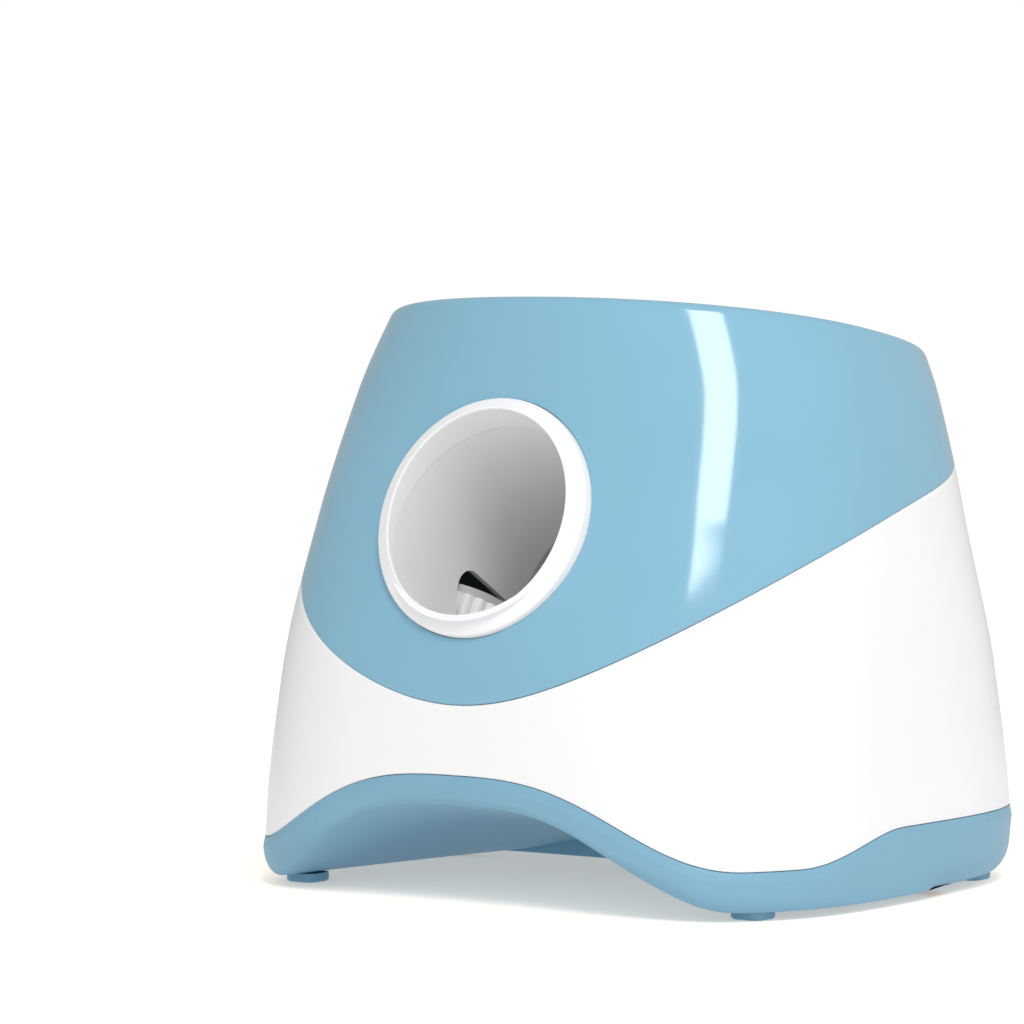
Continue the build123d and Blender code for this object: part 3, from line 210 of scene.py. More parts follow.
def surface(name, color, roughness, metal=0.0, grain=0.00002, grain_scale=900.0, drift=0.04):
    """Moulded plastic, rubber or plain metal: faint mottling, uneven gloss and a fine surface grain."""
    material = bpy.data.materials.new(name)
    material.use_nodes = True
    nodes, links = material.node_tree.nodes, material.node_tree.links
    shader = nodes["Principled BSDF"]
    place = nodes.new("ShaderNodeTexCoord")
    cloud = nodes.new("ShaderNodeTexNoise")
    cloud.inputs["Scale"].default_value = 22.0
    cloud.inputs["Detail"].default_value = 3.0
    links.new(place.outputs["Object"], cloud.inputs["Vector"])
    tint = nodes.new("ShaderNodeMapRange")
    tint.inputs["From Min"].default_value = 0.3
    tint.inputs["From Max"].default_value = 0.7
    tint.inputs["To Min"].default_value = 1 - drift
    tint.inputs["To Max"].default_value = 1.0
    links.new(cloud.outputs["Fac"], tint.inputs["Value"])
    mix = nodes.new("ShaderNodeMix")
    mix.data_type = "RGBA"
    mix.blend_type = "MULTIPLY"
    mix.inputs["Factor"].default_value = 1.0
    mix.inputs["A"].default_value = (*color, 1)
    links.new(tint.outputs["Result"], mix.inputs["B"])
    links.new(mix.outputs["Result"], shader.inputs["Base Color"])
    gloss = nodes.new("ShaderNodeMapRange")
    gloss.inputs["From Min"].default_value = 0.3
    gloss.inputs["From Max"].default_value = 0.7
    gloss.inputs["To Min"].default_value = roughness * 0.9
    gloss.inputs["To Max"].default_value = min(1.0, roughness * 1.15)
    links.new(cloud.outputs["Fac"], gloss.inputs["Value"])
    links.new(gloss.outputs["Result"], shader.inputs["Roughness"])
    fine = nodes.new("ShaderNodeTexNoise")
    fine.inputs["Scale"].default_value = grain_scale
    fine.inputs["Detail"].default_value = 2.0
    links.new(place.outputs["Object"], fine.inputs["Vector"])
    bump = nodes.new("ShaderNodeBump")
    bump.inputs["Strength"].default_value = 0.35
    bump.inputs["Distance"].default_value = grain
    links.new(fine.outputs["Fac"], bump.inputs["Height"])
    links.new(bump.outputs["Normal"], shader.inputs["Normal"])
    shader.inputs["IOR"].default_value = 1.46
    shader.inputs["Metallic"].default_value = metal
    return material


def base_strip(angle):
    """One column of the base: behind the casing, over the bevel, down the wall and under to the middle."""
    top = on_wall(angle, SHELL_SET_IN, base_edge_height)
    points = [form_point(angle, top.z - drop, inset) for inset, drop in TOP_EDGE]
    bevel_inset, bevel_drop = TOP_EDGE[-1]
    for share in BEVEL_SHARES:
        height = top.z - bevel_drop - share * (BEVEL_HEIGHT - bevel_drop)
        points.append(form_point(angle, height, bevel_inset - bevel_inset * share))
    bevel = top.z - BEVEL_HEIGHT
    crease_inset, crease_drop = CREASE
    wall_top = bevel - crease_drop
    points.append(form_point(angle, wall_top, crease_inset))
    low = on_wall(angle, 0, scoop_height)
    low = form_point(angle, low.z, LEAN * (bevel - low.z))
    goal = inner_border(angle)
    inward = Vector((goal.x - low.x, goal.y - low.y, 0)).normalized()
    arched = ease((low.z - ARCH_START) / ARCH_BLEND)
    round_up = min(ROUND_UP, ROUND_SHARE * (bevel - low.z)) * (1 - arched) + ARCH_ROUNDING * arched
    round_in = ROUND_IN * (1 - arched) + ARCH_ROUNDING * arched
    near = low + inward * round_in
    near.z = under_level(near, angle)
    for i in range(1, WALL_ROWS + 1):
        height = wall_top + (low.z + round_up - wall_top) * i / WALL_ROWS
        points.append(form_point(angle, height, crease_inset + LEAN * (bevel - height)))
    start = points[-1]
    for i in range(1, ROUND_ROWS + 1):
        turn = pi / 2 * i / ROUND_ROWS
        points.append(low + (start - low) * (1 - sin(turn)) + (near - low) * (1 - cos(turn)))
    for i in range(1, UNDER_ROWS + 1):
        point = near.lerp(goal, i / UNDER_ROWS)
        point.z = under_level(point, angle)
        points.append(point)
    return points


def under_level(point, angle):
    return scoop_height(point.x, min(point.y, STEP_Y)) if sin(angle) < 0 else BOTTOM


def inner_border(angle):
    """Where a column ends under the base: on the step in front, round the battery door behind."""
    if sin(angle) < 0:
        across = form_point(angle, BOTTOM, 0).x * STEP_SHARE
        return Vector((across, STEP_Y, scoop_height(across, STEP_Y)))
    side = form_point(0, BOTTOM, 0).x * STEP_SHARE
    corners = (
        (side, DOOR_FRONT), (DOOR_SIDE, DOOR_FRONT), (DOOR_SIDE, DOOR_REAR),
        (-DOOR_SIDE, DOOR_REAR), (-DOOR_SIDE, DOOR_FRONT), (-side, DOOR_FRONT),
    )
    turn = degrees(angle)
    span = max(i for i in range(len(DOOR_TURNS) - 1) if turn >= DOOR_TURNS[i])
    share = (turn - DOOR_TURNS[span]) / (DOOR_TURNS[span + 1] - DOOR_TURNS[span])
    first, last = Vector((*corners[span], BOTTOM)), Vector((*corners[span + 1], BOTTOM))
    return first.lerp(last, share)


def step_strip(across):
    """The step behind the scoop, and the flat between it and the battery door."""
    level = scoop_height(across, STEP_Y)
    edge = min(STEP_ROUNDING, (level - BOTTOM) / 2)
    points = [Vector((across, STEP_Y, level)), Vector((across, STEP_Y, BOTTOM + edge))]
    points.append(Vector((across, STEP_Y + 0.3 * edge, BOTTOM + 0.3 * edge)))
    points.append(Vector((across, STEP_Y + edge, BOTTOM)))
    points.append(Vector((across, DOOR_FRONT, BOTTOM)))
    return points


SAME_POINT = 0.000005


def joined(parts):
    """Several skins made into one object: the first takes the others in."""
    whole = bmesh.new()
    for part in parts:
        whole.from_mesh(part.data)
    bmesh.ops.remove_doubles(whole, verts=whole.verts, dist=SAME_POINT)
    whole.to_mesh(parts[0].data)
    whole.free()
    for part in parts[1:]:
        bpy.data.objects.remove(part)
    return parts[0]


angles = [2 * pi * (i + 0.5) / COLUMNS for i in range(COLUMNS)]
step_side = form_point(0, BOTTOM, 0).x * STEP_SHARE
step_strips = [step_strip(step_side * i / STEP_COLUMNS) for i in range(-STEP_COLUMNS, STEP_COLUMNS + 1)]
step_skin = skin("step", step_strips, closed_across=False, flip=True)
door_corners = [
    (-DOOR_SIDE, DOOR_FRONT), (-DOOR_SIDE, DOOR_REAR),
    (DOOR_SIDE, DOOR_REAR), (DOOR_SIDE, DOOR_FRONT),
]
door_walls = [[Vector((x, y, BOTTOM)), Vector((x, y, BOTTOM + DOOR_DEPTH))] for x, y in door_corners]
base_skin = joined([
    skin("base_tray_skin", [base_strip(angle) for angle in angles], flip=True),
    step_skin,
    skin("door well", door_walls),
])
smooth(base_skin)
base_blue = surface("base blue plastic", (0.212, 0.430, 0.575), 0.42, drift=0.03)
finish_with(base_skin, base_blue)
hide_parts("base_tray")
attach(base_skin, "launcher")
for corner in ("front_left", "front_right", "rear_left", "rear_right"):
    finish_with(cad[f"foot_{corner}"], base_blue)

# ================================================================= lower casing
# White gloss casing round the works, screwed up from the tray. One thin moulding, open above and below,
# with a rounded edge at each seam.
SEAM_MEAN = 139.6
SEAM_WAVES = (45.9, 11.2, 4.7, 1.0)
SEAM_GAP = 0.2
# a thin casing's rounded edge: how far in from the outer face, and how far from the edge
CASING_EDGE = ((0.0, 0.55), (0.06, 0.3), (0.2, 0.12), (0.5, 0.0), (WALL, 0.0))
EDGE_DEPTH = 0.55
SHELL_ROWS = 48
PANEL_WIDTH = 84.6
PANEL_TALL = 40.6
PANEL_CORNER = 14.3
INLET_RADIUS = 6.0
INLET_FLANGE = 8.0
INLET_RECESS = 0.4


def seam_height(x, y):
    """The seam swings up from the front to the rear in one smooth sweep."""
    turn = atan2(x, -y)
    return SEAM_MEAN - sum(wave * cos((i + 1) * turn) for i, wave in enumerate(SEAM_WAVES))


def edge_rows(angle, height, way):
    """Rounded edge of a thin casing, from the outer face to the inner face."""
    return [form_point(angle, height + way * drop, SHELL_SET_IN + step) for step, drop in CASING_EDGE]


def shell_strip(angle):
    low = on_wall(angle, SHELL_SET_IN, base_edge_height).z + SEAM_GAP
    high = on_wall(angle, SHELL_SET_IN, seam_height).z
    outside = []
    for i in range(1, SHELL_ROWS):
        height = low + EDGE_DEPTH + (high - low - 2 * EDGE_DEPTH) * i / SHELL_ROWS
        outside.append(form_point(angle, height, SHELL_SET_IN))
    return list(reversed(edge_rows(angle, low, 1))) + outside + edge_rows(angle, high, -1)


def prism(name, front, back):
    """A closed solid between two matching outlines."""
    count = len(front)
    made = skin(name, [list(pair) for pair in zip(front, back)])
    shape = bmesh.new()
    shape.from_mesh(made.data)
    shape.verts.ensure_lookup_table()
    shape.faces.new([shape.verts[2 * i] for i in range(count)])
    shape.faces.new([shape.verts[2 * i + 1] for i in range(count)])
    bmesh.ops.recalc_face_normals(shape, faces=shape.faces)
    shape.to_mesh(made.data)
    shape.free()
    return made


def loop(centre, across, up, radius, count):
    """A circle of points round a centre."""
    turns = [2 * pi * i / count for i in range(count)]
    return [centre + across * (radius * cos(a)) + up * (radius * sin(a)) for a in turns]


def round_bar(name, centre, way, radius, before, after, count=96):
    """A round bar along a direction, from ahead of a point to behind it."""
    across = way.orthogonal().normalized()
    up = way.cross(across).normalized()
    return prism(name, loop(centre + way * before, across, up, radius, count),
                 loop(centre - way * after, across, up, radius, count))


def rounded_outline(width, height, corner, steps=8):
    """Corners of a rounded rectangle, as pairs of across and up."""
    points = []
    for quarter, (sx, sy) in enumerate(((1, 1), (-1, 1), (-1, -1), (1, -1))):
        for i in range(steps + 1):
            turn = pi / 2 * (quarter + i / steps)
            across = sx * (width / 2 - corner) + corner * cos(turn)
            points.append((across, sy * (height / 2 - corner) + corner * sin(turn)))
    return points


def combine(made, other, way="DIFFERENCE"):
    """Cuts another shape out of an object, or adds it, and leaves only the one object."""
    step = made.modifiers.new("combine", "BOOLEAN")
    step.operation = way
    step.solver = "EXACT"
    step.object = other
    done = bpy.data.meshes.new_from_object(made.evaluated_get(bpy.context.evaluated_depsgraph_get()))
    made.modifiers.clear()
    made.data = done
    bpy.data.objects.remove(other)
    smooth(made)


ACROSS = Vector((1, 0, 0))
panel = Vector((0.0, 113.031, 122.0))
panel_way = Vector((0.0, 0.964112, 0.265495))
panel_up = ACROSS.cross(panel_way) * -1
inlet = Vector((44.7102, 122.84, 52.0))
inlet_way = Vector((0.101156, 0.992782, 0.064433))
panel_edge = [ACROSS * x + panel_up * y for x, y in rounded_outline(PANEL_WIDTH, PANEL_TALL, PANEL_CORNER)]
panel_cutter = prism("panel hole", [panel + panel_way * 20 + p for p in panel_edge],
                     [panel - panel_way * 20 + p for p in panel_edge])
lower_shell = skin("lower_casing", [shell_strip(angle) for angle in angles], closed_along=True)
smooth(lower_shell)
white_gloss = surface("white gloss plastic", (0.93, 0.93, 0.93), 0.22, drift=0.01)
finish_with(lower_shell, white_gloss)
combine(lower_shell, panel_cutter)
combine(lower_shell, round_bar("inlet hole", inlet, inlet_way, INLET_RADIUS, 5, 20))
combine(lower_shell, round_bar("inlet recess", inlet, inlet_way, INLET_FLANGE, 5, INLET_RECESS))
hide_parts("lower_shell")
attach(lower_shell, "launcher")

# ================================================================= hood
# Blue gloss upper casing. Its rim is rolled over into a shallow rebate that takes the hopper bowl, and a
# round hole in the front takes the launch ring.
RIM_HEIGHT = 217.6
RIM_SLOPE = tan(radians(8.75))
RIM_RADIUS = 4.5
REBATE_INSET = 7.0
REBATE_DEPTH = 2.4
OPENING_INSET = 11.0
LIP_DEPTH = 5.0
HOOD_ROWS = 60
RING_HOLE = 47.1
EDGE_BREAK = 0.3


def rim_point(angle, inset, drop=0.0):
    """The body's outline in the sloping plane of the rim, or below it."""
    point = form_point(angle, RIM_HEIGHT, inset)
    for _ in range(10):
        point = form_point(angle, RIM_HEIGHT - drop - RIM_SLOPE * point.y, inset)
    return point


def hood_strip(angle):
    low = on_wall(angle, SHELL_SET_IN, seam_height).z + SEAM_GAP
    corner = rim_point(angle, SHELL_SET_IN)
    down = form_point(angle, corner.z - 9, SHELL_SET_IN) - corner
    inward = rim_point(angle, SHELL_SET_IN + 6) - corner
    rounded = rounded_corner(corner, down, inward, RIM_RADIUS, steps=12)
    high = rounded[0].z
    outside = []
    for i in range(1, HOOD_ROWS):
        height = low + EDGE_DEPTH + (high - low - EDGE_DEPTH) * i / HOOD_ROWS
        outside.append(form_point(angle, height, SHELL_SET_IN))
    rim = [rim_point(angle, REBATE_INSET - EDGE_BREAK), rim_point(angle, REBATE_INSET, EDGE_BREAK)]
    rim += [rim_point(angle, REBATE_INSET, REBATE_DEPTH), rim_point(angle, OPENING_INSET, REBATE_DEPTH)]
    rim += [rim_point(angle, OPENING_INSET, LIP_DEPTH), rim_point(angle, SHELL_SET_IN + WALL, LIP_DEPTH)]
    return list(reversed(edge_rows(angle, low, 1))) + outside + rounded + rim


LAUNCH = radians(30.0)
RING_TILT = radians(18.8)
ring_centre = Vector((0.0, -106.699, 146.9))
launch_way = Vector((0, -cos(LAUNCH), sin(LAUNCH)))
barrel_up = Vector((0, sin(LAUNCH), cos(LAUNCH)))
ring_way = Vector((0, -cos(RING_TILT), sin(RING_TILT)))
ring_up = Vector((0, sin(RING_TILT), cos(RING_TILT)))
hood = skin("hood_casing", [hood_strip(angle) for angle in angles], closed_along=True)
combine(hood, round_bar("ring hole", ring_centre, ring_way, RING_HOLE, 30, 30, count=256))
hood_blue = surface("hood blue gloss plastic", (0.235, 0.48, 0.63), 0.09, drift=0.03)
finish_with(hood, hood_blue)
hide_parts("hood")
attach(hood, "launcher")

# ================================================================= launch ring
# White ring round the launch mouth, clipped into the hood from inside. Its face rises towards the bore in a
# shallow cone, with a narrow lip round the inner edge and a short sleeve behind.
RING_RADIUS = 46.8
RING_CROWN = 3.6
BORE = 40.0
BARREL_FRONT = 3.0
BARREL_WALL = 2.5
SLEEVE_DEPTH = 20.0
RING_COLUMNS = 256
# the rounded outer edge: how far in from the edge, how deep behind the face, share of the crown
OUTER_EDGE = ((0.0, 10.9, 0.0), (0.0, 0.9, 0.0), (0.1, 0.35, 0.0), (0.4, 0.0, 0.02))
FACE_INSET = 0.8
FACE_LIFT = 0.1
FACE_SHARES = (0.0, 0.03, 0.12, 0.35, 0.65, 0.88, 0.97, 1.0)
LIP_WIDTH = 1.0
# the rounding from the lip into the bore: share of the lip's width, and how deep
LIP_ROUNDING = ((0.6, 0.05), (0.25, 0.25), (0.0, 0.7), (0.0, 1.3))
SLEEVE_OUTSIDE = 5.0
PLAY = 0.05


def bore_point(turn, depth, radius):
    return ring_centre - launch_way * depth + ACROSS * (radius * cos(turn)) + barrel_up * (radius * sin(turn))


def face_point(turn, radius, lift):
    """On the ring's face: lift goes from the outer edge to the crown beside the bore."""
    middle = ring_centre + launch_way * (RING_CROWN * lift)
    return middle + ACROSS * (radius * cos(turn)) + ring_up * (radius * sin(turn))


def bore_mouth(turn, inner):
    """Where the bore's wall meets the plane of the crown."""
    rim = bore_point(turn, 0, inner)
    crown = ring_centre + launch_way * RING_CROWN
    slide = (crown - rim).dot(ring_way) / launch_way.dot(ring_way)
    return rim + launch_way * slide


def ring_strip(turn):
    """One column of the ring: from behind the hood over the face, into the bore and back over the sleeve."""
    points = []
    for inset, depth, lift in OUTER_EDGE:
        points.append(face_point(turn, RING_RADIUS - inset, lift) - ring_way * depth)
    outer = face_point(turn, RING_RADIUS - FACE_INSET, FACE_LIFT)
    mouth = bore_mouth(turn, BORE)
    lip = mouth + (outer - mouth).normalized() * LIP_WIDTH
    for share in FACE_SHARES:
        points.append(outer.lerp(lip, share))
    for share, depth in LIP_ROUNDING:
        points.append(mouth.lerp(lip, share) - launch_way * depth)
    inside = points[-1]
    for share in (0.25, 0.5, 0.75, 1.0):
        points.append(inside.lerp(bore_point(turn, BARREL_FRONT, BORE), share))
    points.append(bore_point(turn, BARREL_FRONT, BORE + BARREL_WALL + PLAY))
    points.append(bore_point(turn, SLEEVE_DEPTH, BORE + BARREL_WALL + PLAY))
    points.append(bore_point(turn, SLEEVE_DEPTH, BORE + SLEEVE_OUTSIDE))
    return points


ring_turns = [2 * pi * i / RING_COLUMNS for i in range(RING_COLUMNS)]
launch_ring = skin("launch_ring_face", [ring_strip(turn) for turn in ring_turns], closed_along=True)
smooth(launch_ring, 45)
ring_white = surface("ring white plastic", (0.95, 0.95, 0.95), 0.30, drift=0.01)
finish_with(launch_ring, ring_white)
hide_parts("launch_ring")
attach(launch_ring, "launcher")

# ================================================================= launch barrel
# Smooth moulded tube behind the ring, cut open on both sides for the launch wheels. It carries a shelf for
# each wheel motor, stands on two legs and is screwed to the ring through four lugs.
ELBOW_DEPTH = 93.583
ELBOW_TURN = tan(radians(22.5))
WINDOW_FRONT = 49.4
WINDOW_REAR = 105.0
WINDOW_TOP = 4.5
WINDOW_BOTTOM = -30.0
SHELF_TOP = -31.5
SHELF_BOTTOM = -34.5
SHELF_REACH = 80.0
WHEEL_X = 55.0
WHEEL_DEPTH = 76.0
LEG_X = 74.0
LEG_Y = -42.0
LEG_FOOT = 26.0
LEG_RADIUS = 4.5
LUG_X = 45.5
LUG_RISE = 12.0
LUG_RADIUS = 6.0
LUG_DEPTH = 22.2
WINDOW_CORNER = 8.0
TUBE_SHARES = (0.0, 0.1, 0.3, 0.5, 0.7, 0.85, 1.0)
# holes in each shelf: how far across from the wheel's axis, and their radius
SHELF_HOLES = ((0, 5.2), (-8, 1.5), (8, 1.5))


def in_barrel(across, up, depth):
    return ring_centre - launch_way * depth + ACROSS * across + barrel_up * up


def tube_strip(turn):
    rows = [(BORE + BARREL_WALL, share) for share in TUBE_SHARES]
    rows += [(BORE, share) for share in reversed(TUBE_SHARES)]
    front = BARREL_FRONT + SEAM_GAP
    points = []
    for radius, share in rows:
        end = ELBOW_DEPTH - radius * sin(turn) * ELBOW_TURN
        points.append(bore_point(turn, front + (end - front) * share, radius))
    return points


def leg_top(point):
    """Raises a point of the leg's outline to the middle of the motor's shelf."""
    middle = (SHELF_TOP + SHELF_BOTTOM) / 2
    rise = (middle - (point.y - ring_centre.y) * sin(LAUNCH)) / cos(LAUNCH)
    return Vector((point.x, point.y, ring_centre.z + rise))


barrel = skin("launch_barrel_tube", [tube_strip(turn) for turn in ring_turns], closed_along=True)
window_edge = rounded_outline(WINDOW_REAR - WINDOW_FRONT, WINDOW_TOP - WINDOW_BOTTOM, WINDOW_CORNER)
window_depth = (WINDOW_REAR + WINDOW_FRONT) / 2
window_rise = (WINDOW_TOP + WINDOW_BOTTOM) / 2
sides = []
for x in (-60, 60):
    sides.append([in_barrel(x, window_rise + b, window_depth + a) for a, b in window_edge])
combine(barrel, prism("wheel window", *sides))
for side in (-1, 1):
    for rise in (-LUG_RISE, LUG_RISE):
        spot = in_barrel(side * LUG_X, rise, LUG_DEPTH)
        lug = round_bar("lug", spot, launch_way, LUG_RADIUS, 2, 2, count=48)
        combine(barrel, lug, "UNION")
    corners = [(SHELF_BOTTOM, WINDOW_FRONT + 1), (SHELF_BOTTOM, WINDOW_REAR - 1),
               (SHELF_TOP, WINDOW_REAR - 1), (SHELF_TOP, WINDOW_FRONT + 1)]
    ends = [[in_barrel(side * x, up, depth) for up, depth in corners] for x in (22, SHELF_REACH)]
    combine(barrel, prism("motor shelf", *ends), "UNION")
    foot_ring = loop(Vector((side * LEG_X, LEG_Y, LEG_FOOT)), ACROSS, Vector((0, 1, 0)), LEG_RADIUS, 48)
    combine(barrel, prism("leg", foot_ring, [leg_top(point) for point in foot_ring]), "UNION")
    for across, radius in SHELF_HOLES:
        hole = in_barrel(side * WHEEL_X + across, SHELF_TOP, WHEEL_DEPTH)
        combine(barrel, round_bar("motor hole", hole, barrel_up, radius, 2, 5, count=48))
smooth(barrel, 35)
barrel_white = surface("barrel white plastic", (0.90, 0.90, 0.90), 0.34, drift=0.01)
finish_with(barrel, barrel_white)
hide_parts("launch_barrel")
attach(barrel, "launcher")
steel = surface("bright zinc steel", (0.62, 0.62, 0.63), 0.32, metal=1.0, grain=0.00004, grain_scale=2500)
finish_with(cad["ring_screws"], steel)

# ================================================================= launch wheels
# Pale rubber tyres with rounded ribs, each on a moulded hub whose plain collar shows above the ribs. The hubs
# are pressed on the motor shafts. The hubs are grey plastic, and their dark grey is partly painted shade for
# the collar, which sits in shade in the barrel's window.
tyre_white = surface("ribbed wheel rubber", (0.85, 0.85, 0.85), 0.5, grain=0.0001, grain_scale=1400)
# the hub's dark grey is partly its own colour and partly painted shade on the collar above the ribs
hub_grey_and_painted_shade = surface("hub grey plastic and painted shade", (0.45, 0.46, 0.47), 0.45)
for side in ("left", "right"):
    finish_with(cad[f"launch_wheel_{side}"], tyre_white)
    finish_with(cad[f"wheel_hub_{side}"], hub_grey_and_painted_shade)
    finish_with(cad[f"wheel_shaft_{side}"], steel)

# ================================================================= wheel motors
# Two round motors under the shelves: drawn steel cans with a black cap that holds the brush tabs, each held
# from above by two screws.
can_steel = surface("drawn steel can", (0.50, 0.50, 0.51), 0.28, metal=1.0, grain=0.00003, grain_scale=1800)
cap_black = surface("motor cap black plastic", (0.03, 0.03, 0.035), 0.4)
for side in ("left", "right"):
    finish_with(cad[f"wheel_motor_{side}"], can_steel)
    finish_with(cad[f"motor_cap_{side}"], cap_black)
finish_with(cad["motor_screws"], steel)

# ================================================================= feed chute
# Moulded chute that brings one ball at a time from the hopper's throat down to the barrel. It stands on two
# ribs on the battery housing and carries the gate and the ball lever on wings.
chute_grey = surface("chute light grey plastic", (0.72, 0.72, 0.72), 0.36, drift=0.02)
finish_with(cad["feed_chute"], chute_grey)
finish_with(cad["chute_screws"], steel)

# ================================================================= hopper bowl
# Blue funnel that hangs in the hood's rebate by its flange. One moulding that runs from an oval rim down to
# the round throat.
THROAT_Y = 38.0
THROAT_RADIUS = 36.0
THROAT_TOP = 160.0
BOWL_WALL = 2.2
BOWL_INSET = 13.5
FLANGE_INSET = 7.3
BOWL_RISES = (-4.0, 0.0, 3.0, 10.0, 20.0, 34.0, 54.0, 80.0)
BOWL_SHARES = (0.0, 0.015, 0.1, 0.35, 0.62, 0.82, 0.95, 1.0)
BOWL_ROWS = 44
BRIM_DEPTH = 0.9
BRIM_ROUNDING = 0.5
FLANGE_GAP = 0.1


def bowl_point(angle, height, wall):
    """On the inside of the bowl, or outside it by a wall."""
    edge = form_point(angle, height, BOWL_INSET - wall)
    radius = THROAT_RADIUS + wall
    throat = Vector((radius * cos(angle), THROAT_Y + radius * sin(angle), height))
    way_out = smooth_between(BOWL_RISES, BOWL_SHARES, height - THROAT_TOP)
    point = throat.lerp(edge, way_out)
    point.z = height - wall * (1 - way_out)
    return point


def bowl_edge(angle, wall, drop):
    """Height at which a face of the bowl meets the rim's plane, or a plane below it."""
    height = RIM_HEIGHT
    for _ in range(14):
        point = bowl_point(angle, height, wall)
        height += RIM_HEIGHT - drop - RIM_SLOPE * point.y - point.z
    return height


def bowl_strip(angle):
    top = bowl_edge(angle, 0, BRIM_DEPTH)
    low = THROAT_TOP - BOWL_WALL
    inside = [bowl_point(angle, low + (top - low) * (1 - i / BOWL_ROWS), 0) for i in range(BOWL_ROWS + 1)]
    under = bowl_edge(angle, BOWL_WALL, REBATE_DEPTH + FLANGE_GAP)
    outside = []
    for i in range(BOWL_ROWS + 1):
        height = THROAT_TOP + (under - THROAT_TOP) * i / BOWL_ROWS
        outside.append(bowl_point(angle, height, BOWL_WALL))
    brim = bowl_point(angle, bowl_edge(angle, 0, 0.0), 0)
    rim = rim_point(angle, FLANGE_INSET + EDGE_BREAK)
    over = [rim_point(angle, FLANGE_INSET, REBATE_DEPTH), rim_point(angle, FLANGE_INSET, EDGE_BREAK), rim]
    over.append(brim + (rim - brim) * 0.5)
    over.append(brim + (rim - brim).normalized() * BRIM_ROUNDING)
    return outside + over + inside


hopper_bowl = skin("hopper_bowl_funnel", [bowl_strip(angle) for angle in angles], closed_along=True)
smooth(hopper_bowl)
finish_with(hopper_bowl, hood_blue)
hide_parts("hopper_bowl")
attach(hopper_bowl, "launcher")

# ================================================================= ball gate
# A toothed nylon arm on a steel pin, swung by a small gear motor behind the chute's wing. Its tip stands in
# the ball's way until it is swung down.
gear_cream = surface("gear nylon", (0.80, 0.78, 0.72), 0.4)
case_black = surface("gearbox black plastic", (0.035, 0.035, 0.04), 0.42)
for name in ("gate_arm", "gate_pinion"):
    finish_with(cad[name], gear_cream)
finish_with(cad["gate_gearbox"], case_black)
finish_with(cad["gate_motor"], can_steel)
for name in ("gate_pin", "gate_motor_shaft", "gate_screws"):
    finish_with(cad[name], steel)

# ================================================================= ball lever and switch
# A sprung nylon lever that a waiting ball pushes aside, and the small black switch that it lets go of.
# The lever turns on a steel pin in the chute's wing, and the switch is held on the same wing.
finish_with(cad["ball_lever"], gear_cream)
finish_with(cad["lever_pin"], steel)
finish_with(cad["ball_switch"], case_black)

# ================================================================= control panel
# White panel clipped into the casing's rear, with two blue buttons and three small indicator lenses that lead
# the light out from the circuit board behind it.
lens_pale = surface("indicator lens", (0.75, 0.85, 0.75), 0.2)
board_green = surface("circuit board", (0.02, 0.16, 0.07), 0.4)
finish_with(cad["control_panel"], white_gloss)
finish_with(cad["power_button"], hood_blue)
finish_with(cad["distance_button"], hood_blue)
finish_with(cad["indicator_lenses"], lens_pale)
finish_with(cad["main_board"], board_green)
finish_with(cad["board_screws"], steel)

# ================================================================= power inlet
# Black moulded socket for the adapter's plug, with a contact pin in its middle. It is pushed into the
# casing from outside up to its flange.
inlet_black = surface("inlet black plastic", (0.025, 0.025, 0.03), 0.35)
finish_with(cad["dc_jack"], inlet_black)

# ================================================================= batteries
# Four round cells on their sides between plated contacts, under a door that hooks in at the front and is held
# by one screw at the rear.
cell_grey = surface("cell wrap", (0.05, 0.06, 0.08), 0.3)
nickel = surface("nickel plate", (0.70, 0.67, 0.58), 0.28, metal=1.0, grain=0.00004, grain_scale=2500)
for number in range(1, 5):
    finish_with(cad[f"battery_cell_{number}"], cell_grey)
finish_with(cad["battery_contacts"], nickel)
finish_with(cad["battery_door"], base_blue)
finish_with(cad["battery_door_screw"], steel)

# ================================================================= casing screws
# Plain pan-head screws of zinc-plated steel: six up through the base into the casing and the barrel's
# legs, and four up from the casing into the hood.
finish_with(cad["base_screws"], steel)
finish_with(cad["hood_screws"], steel)

# ================================================================= floor, light and camera
# A pale matt floor that keeps the launcher's own soft shadow, with painted light in it: it glows faintly,
# which lights the launcher's underside from below as a painted fill light, and the camera sees a warmer glow
# that pales the floor's shadow as painted shade. Round it an even studio that is a little brighter on one
# side, and one tall soft panel that puts a strip of light on the hood.
FLOOR_REACH = 1100
floor_edges = [[Vector((x, y, 0)) for y in (-FLOOR_REACH, FLOOR_REACH)] for x in (-FLOOR_REACH, FLOOR_REACH)]
floor = skin("floor", floor_edges, closed_across=False)
floor_finish = bpy.data.materials.new("pale floor")
floor_finish.use_nodes = True
nodes, links = floor_finish.node_tree.nodes, floor_finish.node_tree.links
nodes.remove(nodes["Principled BSDF"])
matt = nodes.new("ShaderNodeBsdfDiffuse")
seen = nodes.new("ShaderNodeLightPath")
# The camera sees the floor brighter and warmer than the launcher's light does: the open floor clips to white,
# and the warmth shows only in the shadow, painted brown-grey in place of the blue that bounces off the base.
floor_white_and_shadow_tint = nodes.new("ShaderNodeMix")
floor_white_and_shadow_tint.data_type = "RGBA"
floor_white_and_shadow_tint.inputs["A"].default_value = (0.75, 0.74, 0.73, 1)
floor_white_and_shadow_tint.inputs["B"].default_value = (1.30, 1.16, 1.03, 1)
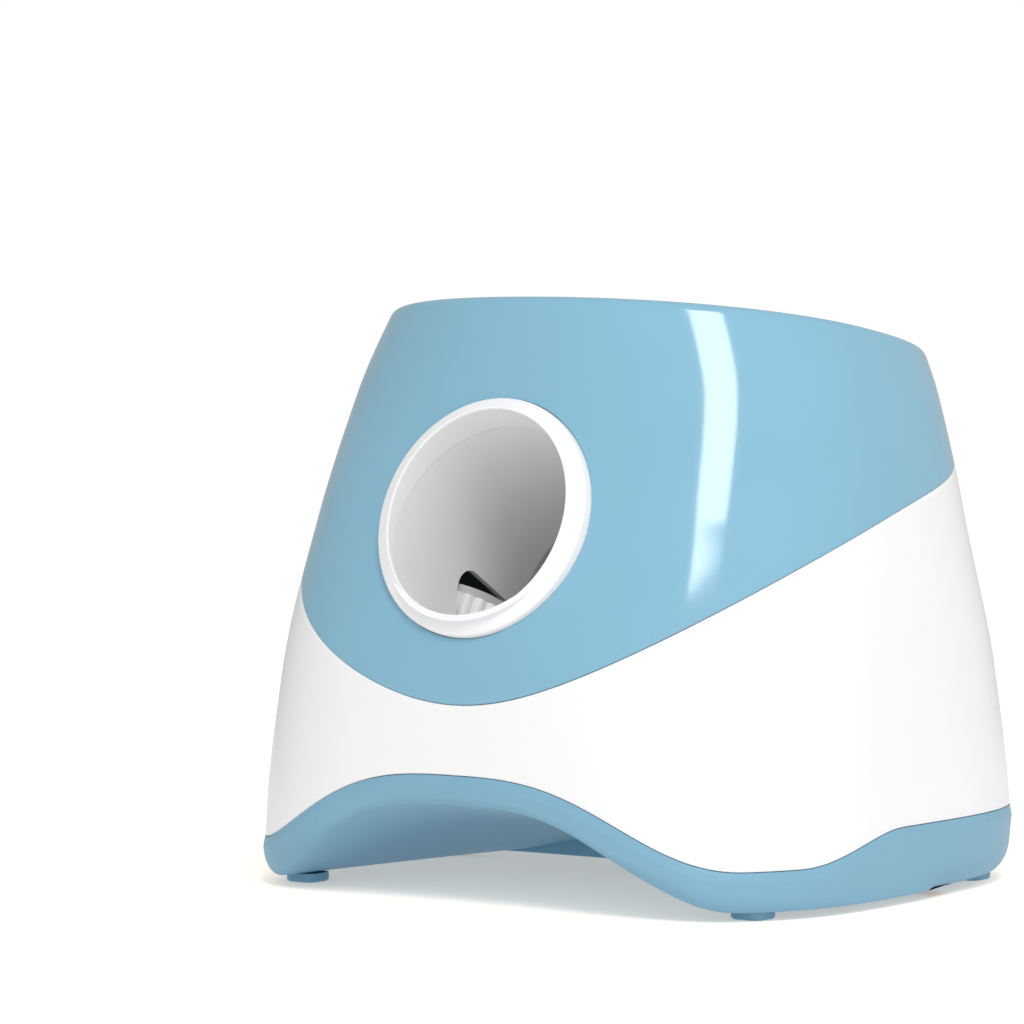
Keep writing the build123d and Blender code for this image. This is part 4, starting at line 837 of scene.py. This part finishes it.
# Painted light: the floor glows though it is no lamp. Towards the launcher the glow is a painted fill light
# on its underside; towards the camera a warmer glow lifts the floor's shadow into a paler brown-grey painted
# shade.
painted_glow = nodes.new("ShaderNodeEmission")
fill_glow_and_shadow_lift = nodes.new("ShaderNodeMix")
fill_glow_and_shadow_lift.data_type = "RGBA"
fill_glow_and_shadow_lift.inputs["A"].default_value = (0.28, 0.28, 0.28, 1)
fill_glow_and_shadow_lift.inputs["B"].default_value = (0.35, 0.30, 0.26, 1)
whole = nodes.new("ShaderNodeAddShader")
links.new(seen.outputs["Is Camera Ray"], floor_white_and_shadow_tint.inputs["Factor"])
links.new(seen.outputs["Is Camera Ray"], fill_glow_and_shadow_lift.inputs["Factor"])
links.new(floor_white_and_shadow_tint.outputs["Result"], matt.inputs["Color"])
links.new(fill_glow_and_shadow_lift.outputs["Result"], painted_glow.inputs["Color"])
links.new(matt.outputs["BSDF"], whole.inputs[0])
links.new(painted_glow.outputs["Emission"], whole.inputs[1])
links.new(whole.outputs["Shader"], nodes["Material Output"].inputs["Surface"])
finish_with(floor, floor_finish)

scene = bpy.context.scene
scene.view_settings.view_transform = "Standard"
world = bpy.data.worlds.new("studio")
scene.world = world
world.use_nodes = True
nodes, links = world.node_tree.nodes, world.node_tree.links
back = nodes["Background"]
back.inputs["Color"].default_value = (1, 1, 1, 1)
path = nodes.new("ShaderNodeLightPath")
where = nodes.new("ShaderNodeTexCoord")
towards = nodes.new("ShaderNodeVectorMath")
towards.operation = "DOT_PRODUCT"
towards.inputs[1].default_value = (0.95, -0.3, 0)
side_level = nodes.new("ShaderNodeMapRange")
side_level.inputs["From Min"].default_value = -1.0
side_level.inputs["To Min"].default_value = 0.45
side_level.inputs["To Max"].default_value = 0.85
level = nodes.new("ShaderNodeMix")
level.inputs["B"].default_value = 1.0
links.new(where.outputs["Generated"], towards.inputs[0])
links.new(towards.outputs["Value"], side_level.inputs["Value"])
links.new(side_level.outputs["Result"], level.inputs["A"])
links.new(path.outputs["Is Camera Ray"], level.inputs["Factor"])
links.new(level.outputs["Result"], back.inputs["Strength"])


def lamp(name, spot, target, width, height, power):
    """A soft panel light aimed at a point."""
    data = bpy.data.lights.new(name, "AREA")
    data.shape = "RECTANGLE"
    data.size = width
    data.size_y = height
    data.energy = power
    made = bpy.data.objects.new(name, data)
    bpy.context.scene.collection.objects.link(made)
    made.location = spot
    made.rotation_mode = "QUATERNION"
    made.rotation_quaternion = (Vector(target) - Vector(spot)).to_track_quat("-Z", "Y")
    return made


lamp("key panel", (1.20, -1.38, 1.71), (0, 0, 0.12), 0.6, 0.8, 22)

camera_data = bpy.data.cameras.new("camera")
camera = bpy.data.objects.new("camera", camera_data)
scene.collection.objects.link(camera)
scene.camera = camera
camera_data.lens = 177.43
camera_data.sensor_width = 36.0
camera_data.clip_end = 50.0
camera.location = (1.1117, -1.6370, 0.2289)
look = Vector((-0.58205, 0.81205, -0.04247))
camera.rotation_mode = "QUATERNION"
camera.rotation_quaternion = look.to_track_quat("-Z", "Y")
